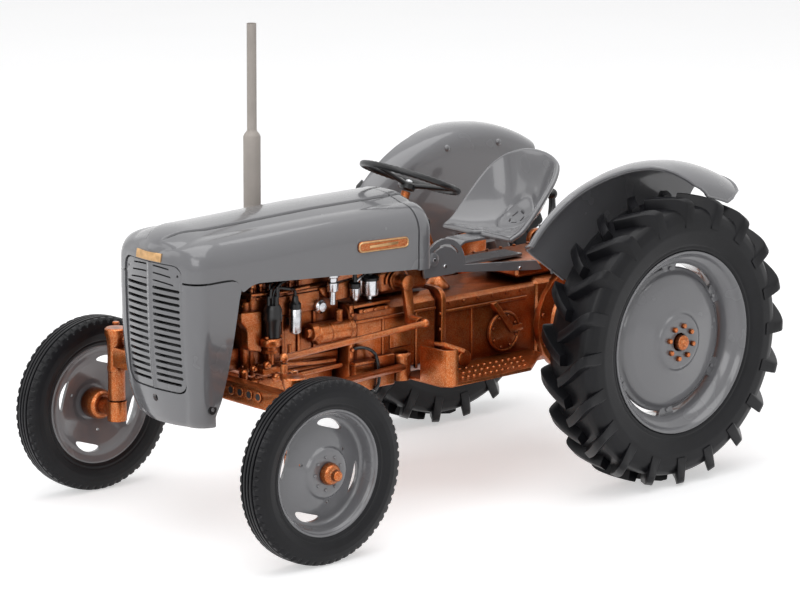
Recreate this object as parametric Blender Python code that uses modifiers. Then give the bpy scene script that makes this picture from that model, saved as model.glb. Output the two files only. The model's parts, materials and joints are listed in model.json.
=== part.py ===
# Display model of a 1950s farm tractor, one sixteenth of full size, in metres, +Z up.
# Places are given from the rear axle: +X forward, +Y to the tractor's left, Z from the ground.
# The whole model is then set so that its middle stands over the world's origin.

import math

import bmesh
import bpy
from mathutils import Matrix, Vector

# General fits
GAP = 0.0003            # between pieces that touch
RUNNING_GAP = 0.0003    # round pins that turn
OVERLAP = 0.0006        # how far pieces of one casting run into each other
SHEET = 0.0008          # pressed steel

# Wheels
WHEELBASE = 0.1143
KINGPIN_Y = 0.0347
KINGPIN_OFFSET = 0.0096         # front wheel's middle outboard of the kingpin
FRONT_TYRE_RADIUS = 0.0222
FRONT_TYRE_HEIGHT = 0.0070
FRONT_TYRE_WIDTH = 0.0078
FRONT_RIM_WIDTH = 0.0056
FRONT_SLOTS = 4
REAR_WHEEL_Y = 0.0434
REAR_TYRE_RADIUS = 0.0372
REAR_TYRE_HEIGHT = 0.0138
REAR_TYRE_WIDTH = 0.0158
REAR_RIM_WIDTH = 0.0134
REAR_PILOT_RADIUS = 0.0019
REAR_CLAMPS = 6
LUG_HEIGHT = 0.0026
LUGS_PER_SIDE = 20
LUG_WIDTH = 0.0029
LUG_SLANT = math.radians(10)    # turn of a lug's outer end behind its middle end
HUB_CAP_DEPTH = 0.0040
WHEEL_STEPS = 28
TYRE_STEPS = 30

# Front axle and steering
KINGPIN_RADIUS = 0.00105
SLEEVE_RADIUS = 0.0022
SLEEVE_RISE = 0.0025            # sleeve's foot above the stub axle
SLEEVE_HEIGHT = 0.0147
KNUCKLE_RADIUS = 0.0025
KNUCKLE_HEIGHT = 0.0050
KINGPIN_CAP_HEIGHT = 0.0030
BEAM_THICKNESS = 0.0038
BEAM_DEPTH = 0.0048
BEAM_BELOW_TOP = 0.0034         # beam's middle below the sleeve's top
BEAM_HOLE_RADIUS = 0.0008
BEAM_HOLE_FIRST = 0.0135
BEAM_HOLE_PITCH = 0.0034
BEAM_HOLES = 4
STUB_RADIUS = 0.0014
STEERING_ARM_X = -0.0041        # ball from the kingpin's axis
STEERING_ARM_Y = 0.0087         # ball inboard of the kingpin's axis
BALL_RADIUS = 0.0012
DRAG_LINK_RADIUS = 0.0008
DRAG_LINK_RISE = 0.0061         # above the sleeve's top
DROP_ARM_Y = 0.0132
DROP_ARM_THICKNESS = 0.0012
DROP_ARM_AHEAD = 0.0012         # drop arm's pivot ahead of the bonnet's rear
DROP_ARM_BELOW = 0.0036         # drop arm's pivot below the bonnet's edge
DROP_BALL_BACK = 0.0015
DROP_BALL_Y = 0.0192
RADIUS_ROD_RADIUS = 0.0010
RADIUS_ROD_INBOARD = 0.0077     # front end inboard of the kingpin
RADIUS_ROD_DROP = 0.0025        # rear end below the beam's middle

# Gearbox and rear axle
TRANSMISSION_HALF_WIDTH = 0.0108
TRANSMISSION_RISE = 0.0112      # gearbox top above the axle
TRANSMISSION_DROP = 0.0084      # gearbox bottom below the axle
BELL_LENGTH = 0.0310
BELL_HALF_WIDTH = 0.0112
BELL_RISE = 0.0138
BELL_DROP = 0.0064
BELL_FLANGE = 0.0010
CENTRE_HOUSING_FRONT = 0.0150
CENTRE_HOUSING_REAR = -0.0130
CENTRE_HOUSING_DROP = 0.0102
CENTRE_HOUSING_RISE = 0.0124
AXLE_TUBE_RADIUS = 0.0044
AXLE_FLANGE_RADIUS = 0.0142
AXLE_FLANGE_THICKNESS = 0.0014
BACKPLATE_RADIUS = 0.0112
BACKPLATE_INBOARD = 0.0109      # backplate inboard of the wheel's middle
BACKPLATE_THICKNESS = 0.0010
DRUM_DEPTH = 0.0050
COVER_PLATE_X = 0.0254          # round plate on the gearbox's side
COVER_PLATE_RADIUS = 0.0050
COVER_PLATE_PROUD = 0.0006
STEP_LENGTH = 0.0440
STEP_OUTER = 0.0276
STEP_DROP = 0.0061
SHIELD_HEIGHT = 0.0086
PEDAL_X = 0.0485
PEDAL_REACH = 0.0050

# Engine
ENGINE_SETBACK = 0.0083         # engine's front behind the front axle
ENGINE_LENGTH = 0.0278
ENGINE_HALF_WIDTH = 0.0085
BLOCK_RISE = 0.0200             # block's top above the rear axle
BLOCK_HEIGHT = 0.0206
HEAD_HEIGHT = 0.0068
HEAD_HALF_WIDTH = 0.0078
SUMP_DEPTH = 0.0083
SUMP_HALF_WIDTH = 0.0074
STARTER_RADIUS = 0.0022
STARTER_LENGTH = 0.0110
FAN_RADIUS = 0.0082
PULLEY_RADIUS = 0.0030

# Rear fittings
TOP_FORK_RISE = 0.0083          # fork's middle above the axle
TOP_FORK_DEPTH = 0.0040
TOP_FORK_HALF_WIDTH = 0.0026
TOP_FORK_HALF_HEIGHT = 0.0025
TOP_FORK_SLOT = 0.0012
PTO_DROP = 0.0037
PTO_RADIUS = 0.0011
PTO_LENGTH = 0.0055

# Hydraulic lift
LIFT_COVER_HEIGHT = 0.0040
LIFT_COVER_HALF_WIDTH = 0.0100
LIFT_SHAFT_X = -0.0090
LIFT_SHAFT_RADIUS = 0.0016
LIFT_HUB_RADIUS = 0.0030
LIFT_ARM_LENGTH = 0.0180
LIFT_ARM_DROP = 0.0030
LIFT_ARM_Y = 0.0126
LIFT_ARM_THICKNESS = 0.0016
LIFT_ROD_RADIUS = 0.0009
LIFT_EYE_RADIUS = 0.0018
LIFT_PIN_RADIUS = 0.0007
LOWER_LINK_PIVOT_X = 0.0020
LOWER_LINK_PIVOT_DROP = 0.0136
LOWER_LINK_PIVOT_Y = 0.0140
LOWER_LINK_END_X = -0.0476
LOWER_LINK_END_Y = 0.0205
LOWER_LINK_THICKNESS = 0.0014
LOWER_LINK_DEPTH = 0.0026
LOWER_EYE_RADIUS = 0.0021
LOWER_EYE_HALF = 0.0012
LOWER_BORE_RADIUS = 0.0010

# Bonnet, nose and cowl
BONNET_RISE = 0.0126            # bonnet's top above the cylinder head
BONNET_LENGTH = 0.0555
BONNET_HALF_WIDTH = 0.0170
BONNET_CORNER = 0.0071
BONNET_CROWN = 0.0017
BONNET_DEPTH = 0.0178           # top to side edge, at the rear
SPLIT_DEPTH = 0.0148            # top to the nose's split line
NOSE_AHEAD = 0.0012             # nose panel's rear edge ahead of the front axle
NOSE_LENGTH = 0.0135
NOSE_HALF_WIDTH = 0.0158
NOSE_CORNER = 0.0045
NOSE_DEPTH = 0.0466             # bonnet's top to the nose panel's foot
NOSE_SWEEP = 0.0031             # how far the cheek's rear edge runs forward towards its foot
NOSE_TOOTH = 0.0036             # how far the bonnet's edge dips behind the cheek
GRILLE_HALF_WIDTH = 0.0112
GRILLE_FOOT_DEPTH = 0.0406
GRILLE_TOP_DEPTH = 0.0081
GRILLE_SLOTS = 17
GRILLE_MARGIN = 0.0011
HANDLE_HOLE_RADIUS = 0.0009
COWL_LENGTH = 0.0047
COWL_DEPTH = 0.0182
RADIATOR_DEPTH = 0.0060
RADIATOR_HALF_WIDTH = 0.0115
TANK_HALF_WIDTH = 0.0130
TANK_HEIGHT = 0.0079
TANK_LENGTH = 0.0400

# Driver's place
COLUMN_RADIUS = 0.0012
COLUMN_TILT = math.radians(21.8)
STEERING_BOX_LENGTH = 0.0165
STEERING_BOX_HALF_WIDTH = 0.0100
STEERING_WHEEL_BACK = 0.0123    # wheel's middle behind the bonnet's rear
STEERING_WHEEL_RISE = 0.0014    # wheel's middle above the bonnet's top
STEERING_WHEEL_RADIUS = 0.0124
STEERING_WHEEL_GRIP = 0.0008
STEERING_WHEEL_DISH = 0.0025
STEERING_BOSS_LOW = 0.0008      # how far the wheel's boss reaches below its spokes
SEAT_FRONT = 0.0246
SEAT_LENGTH = 0.0204
SEAT_HALF_WIDTH = 0.0130
SEAT_RISE = 0.0073              # seat's floor above the lift cover
SEAT_HEIGHT = 0.0190
SPRING_HALF_WIDTH = 0.0035
SPRING_THICKNESS = 0.0007
GEAR_LEVER_X = 0.0385
GEAR_LEVER_RADIUS = 0.0005
KNOB_RADIUS = 0.0012
QUADRANT_RADIUS = 0.0070
QUADRANT_Y = 0.0103

# Mudguards
GUARD_INBOARD = 0.0134          # inner wall inboard of the wheel's middle
GUARD_OUTBOARD = 0.0046         # outer edge outboard of the wheel's middle
GUARD_CLEARANCE = 0.0083        # crown above the tyre
GUARD_EDGE_CLEARANCE = 0.0046
GUARD_SHEET = 0.0007
GUARD_BOTTOM_RISE = 0.0130      # the inner wall's lower edge above the axle
GUARD_FRONT_ANGLE = math.radians(36)
GUARD_REAR_ANGLE = math.radians(122)
GUARD_BRACKET_HALF_WIDTH = 0.0045

# Exhaust
STACK_AHEAD = 0.0230            # stack ahead of the bonnet's rear
STACK_OUTBOARD = 0.0025         # stack outboard of the bonnet's side
SILENCER_RADIUS = 0.0022
SILENCER_TOP = 0.0900
PIPE_RADIUS = 0.0012
PIPE_TOP = 0.1180

# Places that follow from the sizes above
FRONT_AXLE_Z = FRONT_TYRE_RADIUS
AXLE_Z = REAR_TYRE_RADIUS
FRONT_WHEEL_Y = KINGPIN_Y + KINGPIN_OFFSET
FRONT_RIM_RADIUS = FRONT_TYRE_RADIUS - FRONT_TYRE_HEIGHT
REAR_RIM_RADIUS = REAR_TYRE_RADIUS - REAR_TYRE_HEIGHT
BACKPLATE_Y = REAR_WHEEL_Y - BACKPLATE_INBOARD
SLEEVE_BOTTOM = FRONT_AXLE_Z + SLEEVE_RISE
SLEEVE_TOP = SLEEVE_BOTTOM + SLEEVE_HEIGHT
BEAM_Z = SLEEVE_TOP - BEAM_BELOW_TOP
DRAG_LINK_Z = SLEEVE_TOP + DRAG_LINK_RISE
TRANSMISSION_TOP = AXLE_Z + TRANSMISSION_RISE
TRANSMISSION_BOTTOM = AXLE_Z - TRANSMISSION_DROP
CENTRE_HOUSING_TOP = AXLE_Z + CENTRE_HOUSING_RISE
CENTRE_HOUSING_BOTTOM = AXLE_Z - CENTRE_HOUSING_DROP
ENGINE_FRONT = WHEELBASE - ENGINE_SETBACK
ENGINE_REAR = ENGINE_FRONT - ENGINE_LENGTH
BELL_FRONT = ENGINE_REAR - GAP
BELL_REAR = BELL_FRONT - BELL_LENGTH
BELL_TOP = AXLE_Z + BELL_RISE
BLOCK_TOP = AXLE_Z + BLOCK_RISE
BLOCK_BOTTOM = BLOCK_TOP - BLOCK_HEIGHT
HEAD_TOP = BLOCK_TOP + HEAD_HEIGHT
BONNET_TOP = HEAD_TOP + BONNET_RISE
BONNET_EDGE = BONNET_TOP - BONNET_DEPTH
NOSE_SPLIT = BONNET_TOP - SPLIT_DEPTH
NOSE_BOTTOM = BONNET_TOP - NOSE_DEPTH
GRILLE_BOTTOM = BONNET_TOP - GRILLE_FOOT_DEPTH
GRILLE_TOP = BONNET_TOP - GRILLE_TOP_DEPTH
NOSE_REAR = WHEELBASE + NOSE_AHEAD
NOSE_FRONT = NOSE_REAR + NOSE_LENGTH
BONNET_REAR = NOSE_REAR - BONNET_LENGTH
COWL_REAR = BONNET_REAR - COWL_LENGTH
COWL_BOTTOM = BONNET_TOP - COWL_DEPTH
DROP_ARM_X = BONNET_REAR + DROP_ARM_AHEAD
DROP_ARM_TOP_Z = BONNET_EDGE - DROP_ARM_BELOW
DROP_BALL_X = DROP_ARM_X - DROP_BALL_BACK
LIFT_COVER_TOP = CENTRE_HOUSING_TOP + LIFT_COVER_HEIGHT
LIFT_SHAFT_Z = LIFT_COVER_TOP - 0.0005
LIFT_ARM_END_X = LIFT_SHAFT_X - LIFT_ARM_LENGTH
LIFT_ARM_END_Z = LIFT_SHAFT_Z - LIFT_ARM_DROP
LIFT_EYE_HALF = LIFT_ROD_RADIUS + 0.0002
LIFT_ROD_Y = LIFT_ARM_Y + LIFT_ARM_THICKNESS + GAP + LIFT_EYE_HALF
LOWER_LINK_Z = AXLE_Z - LOWER_LINK_PIVOT_DROP
GUARD_INNER_Y = REAR_WHEEL_Y - GUARD_INBOARD
GUARD_OUTER_Y = REAR_WHEEL_Y + GUARD_OUTBOARD
GUARD_SHOULDER_RADIUS = REAR_TYRE_RADIUS + GUARD_CLEARANCE
GUARD_EDGE_RADIUS = REAR_TYRE_RADIUS + GUARD_EDGE_CLEARANCE
STACK_X = BONNET_REAR + STACK_AHEAD
STACK_Y = -BONNET_HALF_WIDTH - STACK_OUTBOARD
FRONT_EXTENT = WHEELBASE + FRONT_TYRE_RADIUS
REAR_EXTENT = LOWER_LINK_END_X - LOWER_EYE_RADIUS
MIDDLE_X = (FRONT_EXTENT + REAR_EXTENT) / 2

PAINTS = {
    "grey_enamel": ((0.262, 0.271, 0.279), 0.25, 0.0),
    "bronze_enamel": ((0.37, 0.10, 0.025), 0.30, 0.7),
    "tyre_rubber": ((0.018, 0.018, 0.020), 0.70, 0.0),
    "black_plastic": ((0.012, 0.012, 0.013), 0.35, 0.0),
    "stack_plastic": ((0.45, 0.40, 0.37), 0.55, 0.0),
    "bright_metal": ((0.60, 0.60, 0.62), 0.20, 1.0),
}


def clear_scene():
    for thing in list(bpy.data.objects):
        bpy.data.objects.remove(thing, do_unlink=True)


clear_scene()
MODEL = bpy.data.collections.new("farm_tractor_model")
bpy.context.scene.collection.children.link(MODEL)
TRACTOR = bpy.data.objects.new("tractor_frame", None)
TRACTOR.location = (-MIDDLE_X, 0, 0)
MODEL.objects.link(TRACTOR)


def make_paints():
    paints = {}
    for name, (colour, roughness, metallic) in PAINTS.items():
        paint = bpy.data.materials.new(name)
        paint.use_nodes = True
        shader = paint.node_tree.nodes["Principled BSDF"]
        shader.inputs["Base Color"].default_value = (*colour, 1)
        shader.inputs["Roughness"].default_value = roughness
        shader.inputs["Metallic"].default_value = metallic
        paints[name] = paint
    return paints


PAINT = make_paints()


# Shapes

def from_bmesh(bm):
    mesh = bpy.data.meshes.new("shape")
    bmesh.ops.recalc_face_normals(bm, faces=bm.faces)
    bm.to_mesh(mesh)
    bm.free()
    shape = bpy.data.objects.new("shape", mesh)
    MODEL.objects.link(shape)
    return shape


def baked(shape):
    """The shape with its modifiers applied, as a plain mesh in place."""
    depsgraph = bpy.context.evaluated_depsgraph_get()
    mesh = bpy.data.meshes.new_from_object(shape.evaluated_get(depsgraph))
    mesh.transform(shape.matrix_world)
    bm = bmesh.new()
    bm.from_mesh(mesh)
    bmesh.ops.remove_doubles(bm, verts=bm.verts, dist=0.000002)
    bm.to_mesh(mesh)
    bm.free()
    bpy.data.objects.remove(shape, do_unlink=True)
    solid = bpy.data.objects.new("solid", mesh)
    MODEL.objects.link(solid)
    return solid


def block(x, y, z, bevel=0.0):
    """A box between the low and high value of each pair, its edges bevelled."""
    bm = bmesh.new()
    bmesh.ops.create_cube(bm, size=1)
    size = Vector((x[1] - x[0], y[1] - y[0], z[1] - z[0]))
    centre = Vector((x[0] + x[1], y[0] + y[1], z[0] + z[1])) / 2
    bmesh.ops.scale(bm, vec=size, verts=bm.verts)
    bmesh.ops.translate(bm, vec=centre, verts=bm.verts)
    if bevel:
        bmesh.ops.bevel(bm, geom=bm.edges[:], offset=bevel, segments=1, affect="EDGES")
    return from_bmesh(bm)


def rod(start, end, radius, end_radius=None, sides=16):
    """A round bar or cone between two points."""
    start, end = Vector(start), Vector(end)
    along = end - start
    bm = bmesh.new()
    bmesh.ops.create_cone(bm, cap_ends=True, segments=sides, radius1=radius,
                          radius2=radius if end_radius is None else end_radius,
                          depth=along.length)
    turn = along.to_track_quat("Z", "Y").to_matrix().to_4x4()
    bmesh.ops.transform(bm, matrix=Matrix.Translation((start + end) / 2) @ turn, verts=bm.verts)
    return from_bmesh(bm)


def ball(centre, radius):
    bm = bmesh.new()
    bmesh.ops.create_uvsphere(bm, u_segments=10, v_segments=6, radius=radius)
    bmesh.ops.translate(bm, vec=Vector(centre), verts=bm.verts)
    return from_bmesh(bm)


def turned(profile, centre, steps=WHEEL_STEPS, closed=True, axis="Y"):
    """A closed profile of (radius, offset) pairs turned about an axis through centre."""
    bm = bmesh.new()
    points = [bm.verts.new((radius, 0, offset)) for radius, offset in profile]
    for here, there in zip(points, points[1:] + points[:1] if closed else points[1:]):
        bm.edges.new((here, there))
    mesh = bpy.data.meshes.new("profile")
    bm.to_mesh(mesh)
    bm.free()
    shape = bpy.data.objects.new("profile", mesh)
    MODEL.objects.link(shape)
    screw = shape.modifiers.new("turn", "SCREW")
    screw.steps = steps
    screw.render_steps = steps
    screw.use_merge_vertices = True
    screw.merge_threshold = 0.00001
    if axis == "Y":
        shape.rotation_euler = (-math.pi / 2, 0, 0)
    if axis == "X":
        shape.rotation_euler = (0, math.pi / 2, 0)
    shape.location = centre
    bpy.context.view_layer.update()
    return squared(baked(shape))


def squared(solid):
    """Turns every face outward."""
    bm = bmesh.new()
    bm.from_mesh(solid.data)
    bmesh.ops.recalc_face_normals(bm, faces=bm.faces)
    bm.to_mesh(solid.data)
    bm.free()
    return solid


def blocks(spans):
    """Several boxes that don't touch, as one shape."""
    bm = bmesh.new()
    for x, y, z in spans:
        made = bmesh.ops.create_cube(bm, size=1)["verts"]
        bmesh.ops.scale(bm, vec=(x[1] - x[0], y[1] - y[0], z[1] - z[0]), verts=made)
        bmesh.ops.translate(bm, vec=((x[0] + x[1]) / 2, (y[0] + y[1]) / 2, (z[0] + z[1]) / 2), verts=made)
    return from_bmesh(bm)


def prisms(outlines, low, high):
    """Several flat outlines of (x, z) pairs that don't touch, thick from low to high across the tractor."""
    bm = bmesh.new()
    for outline in outlines:
        near = [bm.verts.new((a, low, b)) for a, b in outline]
        far = [bm.verts.new((a, high, b)) for a, b in outline]
        for i in range(len(outline)):
            j = (i + 1) % len(outline)
            bm.faces.new((near[i], near[j], far[j], far[i]))
        bm.faces.new(near[::-1])
        bm.faces.new(far)
    return from_bmesh(bm)


def extruded(outline, low, high, axis="Y"):
    """A flat outline of (a, b) pairs, thick from low to high along an axis.

    The pairs are (x, z) on Y, (x, y) on Z and (y, z) on X."""
    place = {
        "Y": lambda a, b, c: (a, c, b),
        "Z": lambda a, b, c: (a, b, c),
        "X": lambda a, b, c: (c, a, b),
    }[axis]
    bm = bmesh.new()
    base = bm.faces.new([bm.verts.new(place(a, b, low)) for a, b in outline])
    grown = bmesh.ops.extrude_face_region(bm, geom=[base])
    lifted = [item for item in grown["geom"] if isinstance(item, bmesh.types.BMVert)]
    bmesh.ops.translate(bm, vec=Vector(place(0, 0, high - low)), verts=lifted)
    return from_bmesh(bm)


def lofted(rings):
    """A solid through like rings of points, its first and last ring capped."""
    bm = bmesh.new()
    rows = [[bm.verts.new(point) for point in ring] for ring in rings]
    for near, far in zip(rows, rows[1:]):
        for i in range(len(near)):
            j = (i + 1) % len(near)
            bm.faces.new((near[i], near[j], far[j], far[i]))
    bm.faces.new(rows[0][::-1])
    bm.faces.new(rows[-1])
    return from_bmesh(bm)


def tube(points, radius, sides=2):
    """A round tube along points."""
    curve = bpy.data.curves.new("tube", "CURVE")
    curve.dimensions = "3D"
    curve.bevel_depth = radius
    curve.bevel_resolution = sides
    curve.render_resolution_u = 0
    curve.use_fill_caps = True
    spline = curve.splines.new("POLY")
    spline.points.add(len(points) - 1)
    for place, point in zip(spline.points, points):
        place.co = (*point, 1)
    shape = bpy.data.objects.new("tube", curve)
    MODEL.objects.link(shape)
    bpy.context.view_layer.update()
    solid = baked(shape)
    bm = bmesh.new()
    bm.from_mesh(solid.data)
    bmesh.ops.remove_doubles(bm, verts=bm.verts, dist=0.00001)
    bmesh.ops.recalc_face_normals(bm, faces=bm.faces)
    bm.to_mesh(solid.data)
    bm.free()
    return solid


def combined(first, others, operation):
    for other in others:
        change = first.modifiers.new(operation.lower(), "BOOLEAN")
        change.operation = operation
        change.object = other
    bpy.context.view_layer.update()
    result = baked(first)
    for other in others:
        bpy.data.objects.remove(other, do_unlink=True)
    return result


def fused(first, *others):
    return combined(first, others, "UNION")


def cut(first, *cutters):
    return combined(first, cutters, "DIFFERENCE")


def arc(centre, radius, start, end, steps):
    """Points of an arc, in degrees, as (a, b) pairs."""
    return [(centre[0] + radius * math.cos(math.radians(start + (end - start) * i / steps)),
             centre[1] + radius * math.sin(math.radians(start + (end - start) * i / steps)))
            for i in range(steps + 1)]


# Bodies and nodes

def body(name, pivot=(0, 0, 0), parent=None):
    """An empty on a moving body's joint axis."""
    empty = bpy.data.objects.new(name, None)
    MODEL.objects.link(empty)
    empty["pivot"] = pivot
    empty.parent = parent or TRACTOR
    base = Vector(parent["pivot"]) if parent else Vector((0, 0, 0))
    empty.location = Vector(pivot) - base
    return empty


def node(name, shape, paint, carrier=None):
    """Names a finished solid, paints it and puts its origin on its body's joint."""
    shape.name = name
    shape.data.name = name
    shape.data.materials.clear()
    shape.data.materials.append(PAINT[paint])
    shape.data.shade_smooth()
    shape.data.set_sharp_from_angle(angle=math.radians(35))
    if carrier:
        shape.data.transform(Matrix.Translation(-Vector(carrier["pivot"])))
    shape.parent = carrier or TRACTOR
    return shape


def sided(side, x, y, z):
    """A place on the left (side 1) or the right (side -1)."""
    return (x, side * y, z)


def span(side, low, high):
    """A pair of Y values on one side, low first."""
    return tuple(sorted((side * low, side * high)))


SIDES = (("left", 1), ("right", -1))


# Wheels

def tyre_profile(radius, width, rim_radius, shoulder):
    """A tyre's section, from the bead up the side wall and over the tread."""
    half = width / 2
    bead = rim_radius + GAP
    bead_half = half * 0.78
    inner = bead_half - half * 0.26
    side = [(bead, inner), (bead, bead_half), (bead + (radius - bead) * 0.5, half),
            (radius - shoulder, half * 0.92), (radius, half * 0.62)]
    return side + [(r, -offset) for r, offset in reversed(side)]


def lens(middle, centre, half_length, half_width):
    """A pointed oval across the radius, its middle at a turn round the wheel's centre."""
    points = []
    for along, across in ((-1, 0), (-0.5, 0.75), (0, 1), (0.5, 0.75), (1, 0), (0.5, -0.75), (0, -1), (-0.5, -0.75)):
        a = centre + across * half_width
        b = along * half_length
        points.append((a * math.cos(middle) - b * math.sin(middle), a * math.sin(middle) + b * math.cos(middle)))
    return points


def front_wheel(label, side, spindle):
    centre = sided(side, WHEELBASE, FRONT_WHEEL_Y, FRONT_AXLE_Z)
    wheel = body("front_wheel_" + label, centre, spindle)
    half = FRONT_RIM_WIDTH / 2
    seat = FRONT_RIM_RADIUS - 0.0018
    inner = seat - SHEET
    bore = STUB_RADIUS + RUNNING_GAP
    boss = FRONT_RIM_RADIUS * 0.29
    rim = [(FRONT_RIM_RADIUS, half), (seat, half - 0.0012), (seat, -half + 0.0012), (FRONT_RIM_RADIUS, -half),
           (inner, -half + 0.0008), (inner, -SHEET), (boss, 0.0011), (bore, 0.0011),
           (bore, 0.0026), (boss, 0.0022), (inner, 0.0003), (inner, half - 0.0008)]
    disc = turned([(r, side * offset) for r, offset in rim], centre)
    slots = []
    for number in range(FRONT_SLOTS):
        turn = 2 * math.pi * (number + 0.35) / FRONT_SLOTS
        slots.append([(centre[0] + a, centre[2] + b)
                      for a, b in lens(turn, FRONT_RIM_RADIUS * 0.74, FRONT_RIM_RADIUS * 0.22, FRONT_RIM_RADIUS * 0.06)])
    cutter = prisms(slots, *span(side, FRONT_WHEEL_Y - half, FRONT_WHEEL_Y + half))
    node("front_rim_" + label, cut(disc, cutter), "grey_enamel", wheel)
    tyre = turned(tyre_profile(FRONT_TYRE_RADIUS, FRONT_TYRE_WIDTH, FRONT_RIM_RADIUS, FRONT_TYRE_HEIGHT * 0.31), centre)
    node("front_tyre_" + label, tyre, "tyre_rubber", wheel)
    cap = [(0, 0.0066), (0.0012, 0.0064), (0.0013, 0.0050), (0.0025, 0.0044), (0.0027, 0.0029),
           (bore, 0.0029), (bore, HUB_CAP_DEPTH), (0, HUB_CAP_DEPTH)]
    shape = turned([(r, side * offset) for r, offset in cap], centre, 20, closed=False)
    node("front_hub_cap_" + label, shape, "bronze_enamel", wheel)


def lugs(centre, side):
    """The tread's bars: on each side twenty, from past the middle out over the shoulder, the two sides staggered."""
    half = REAR_TYRE_WIDTH / 2
    base = REAR_TYRE_RADIUS - LUG_HEIGHT
    stations = (
        # share of the half width, share of the slant, foot radius, top radius, share of the width
        (-0.08, -0.05, base - 0.0014, REAR_TYRE_RADIUS, 0.92),
        (0.72, 0.74, base - 0.0022, REAR_TYRE_RADIUS - 0.0002, 1.00),
        (1.00, 1.00, base - 0.0056, REAR_TYRE_RADIUS - 0.0014, 0.80),
    )
    bm = bmesh.new()
    pitch = 2 * math.pi / LUGS_PER_SIDE
    for hand in (1, -1):
        for number in range(LUGS_PER_SIDE):
            start = pitch * (number + (0.5 if hand == side else 0.0))
            rows = []
            for across, slant, foot, top, wide in stations:
                y = centre[1] + hand * half * across
                inboard = y - hand * half * 0.07 if across == 1.0 else y
                ring = []
                for radius, grow, place in ((foot, 1.25, inboard), (top, 1.0, y)):
                    turn = LUG_WIDTH * wide * grow / 2 / radius
                    for edge in ((-1, 1) if radius == foot else (1, -1)):
                        angle = start + slant * LUG_SLANT + edge * turn
                        ring.append(bm.verts.new((centre[0] + radius * math.cos(angle), place,
                                                  centre[2] + radius * math.sin(angle))))
                rows.append(ring)
            for near, far in zip(rows, rows[1:]):
                for i in range(4):
                    j = (i + 1) % 4
                    bm.faces.new((near[i], near[j], far[j], far[i]))
            bm.faces.new(rows[0][::-1])
            bm.faces.new(rows[-1])
    return from_bmesh(bm)


def rear_wheel(label, side):
    centre = sided(side, 0, REAR_WHEEL_Y, AXLE_Z)
    wheel = body("rear_wheel_" + label, centre)
    half = REAR_RIM_WIDTH / 2
    base = REAR_RIM_RADIUS - 0.0022
    well = base - 0.0010
    inner = well - SHEET
    bore = REAR_PILOT_RADIUS + GAP
    edge = inner - 0.0008
    rim = [(REAR_RIM_RADIUS, half), (base, half - 0.0018), (well, 0.0024), (well, -0.0024), (base, -half + 0.0018),
           (REAR_RIM_RADIUS, -half), (base - SHEET, -half + 0.0012), (inner, -0.0030), (inner, 0.0030),
           (base - SHEET, half - 0.0012)]
    disc = [(edge, 0.0004), (edge, 0.0012), (edge * 0.85, 0.0026), (edge * 0.43, 0.0046),
            (edge * 0.33, 0.0057), (bore, 0.0057), (bore, 0.0048), (edge * 0.31, 0.0048), (edge * 0.41, 0.0037),
            (edge * 0.83, 0.0017)]
    clamps = []
    for number in range(REAR_CLAMPS):
        turn = 2 * math.pi * (number + 0.5) / REAR_CLAMPS
        corners = [(edge - 0.0016, -0.0019), (inner + 0.0004, -0.0026), (inner + 0.0004, 0.0026), (edge - 0.0016, 0.0019)]
        clamps.append([(centre[0] + a * math.cos(turn) - b * math.sin(turn),
                        centre[2] + a * math.sin(turn) + b * math.cos(turn)) for a, b in corners])
    joined = prisms(clamps, *span(side, REAR_WHEEL_Y + 0.0001, REAR_WHEEL_Y + 0.0010))
    node("rear_rim_" + label, fused(turned([(r, side * offset) for r, offset in rim], centre), joined,
                                    turned([(r, side * offset) for r, offset in disc], centre)),
         "grey_enamel", wheel)
    drum_in = BACKPLATE_Y + BACKPLATE_THICKNESS + GAP - REAR_WHEEL_Y
    hub = [(0, drum_in), (BACKPLATE_RADIUS, drum_in), (BACKPLATE_RADIUS, drum_in + DRUM_DEPTH),
           (0.0050, drum_in + DRUM_DEPTH + 0.0008), (0.0032, 0.0030), (0.0052, 0.0040),
           (0.0052, 0.0048 - GAP), (REAR_PILOT_RADIUS, 0.0048 - GAP), (REAR_PILOT_RADIUS, 0.0072),
           (0.0013, 0.0077), (0, 0.0077)]
    node("rear_hub_" + label, turned([(r, side * offset) for r, offset in hub], centre, 24, closed=False),
         "bronze_enamel", wheel)
    carcass = tyre_profile(REAR_TYRE_RADIUS - LUG_HEIGHT, REAR_TYRE_WIDTH, REAR_RIM_RADIUS, REAR_TYRE_HEIGHT * 0.17)
    node("rear_tyre_" + label, fused(turned(carcass, centre, TYRE_STEPS), lugs(centre, side)), "tyre_rubber", wheel)


# Front axle and steering

def kingpin_place(side):
    return (WHEELBASE, side * KINGPIN_Y)


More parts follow.
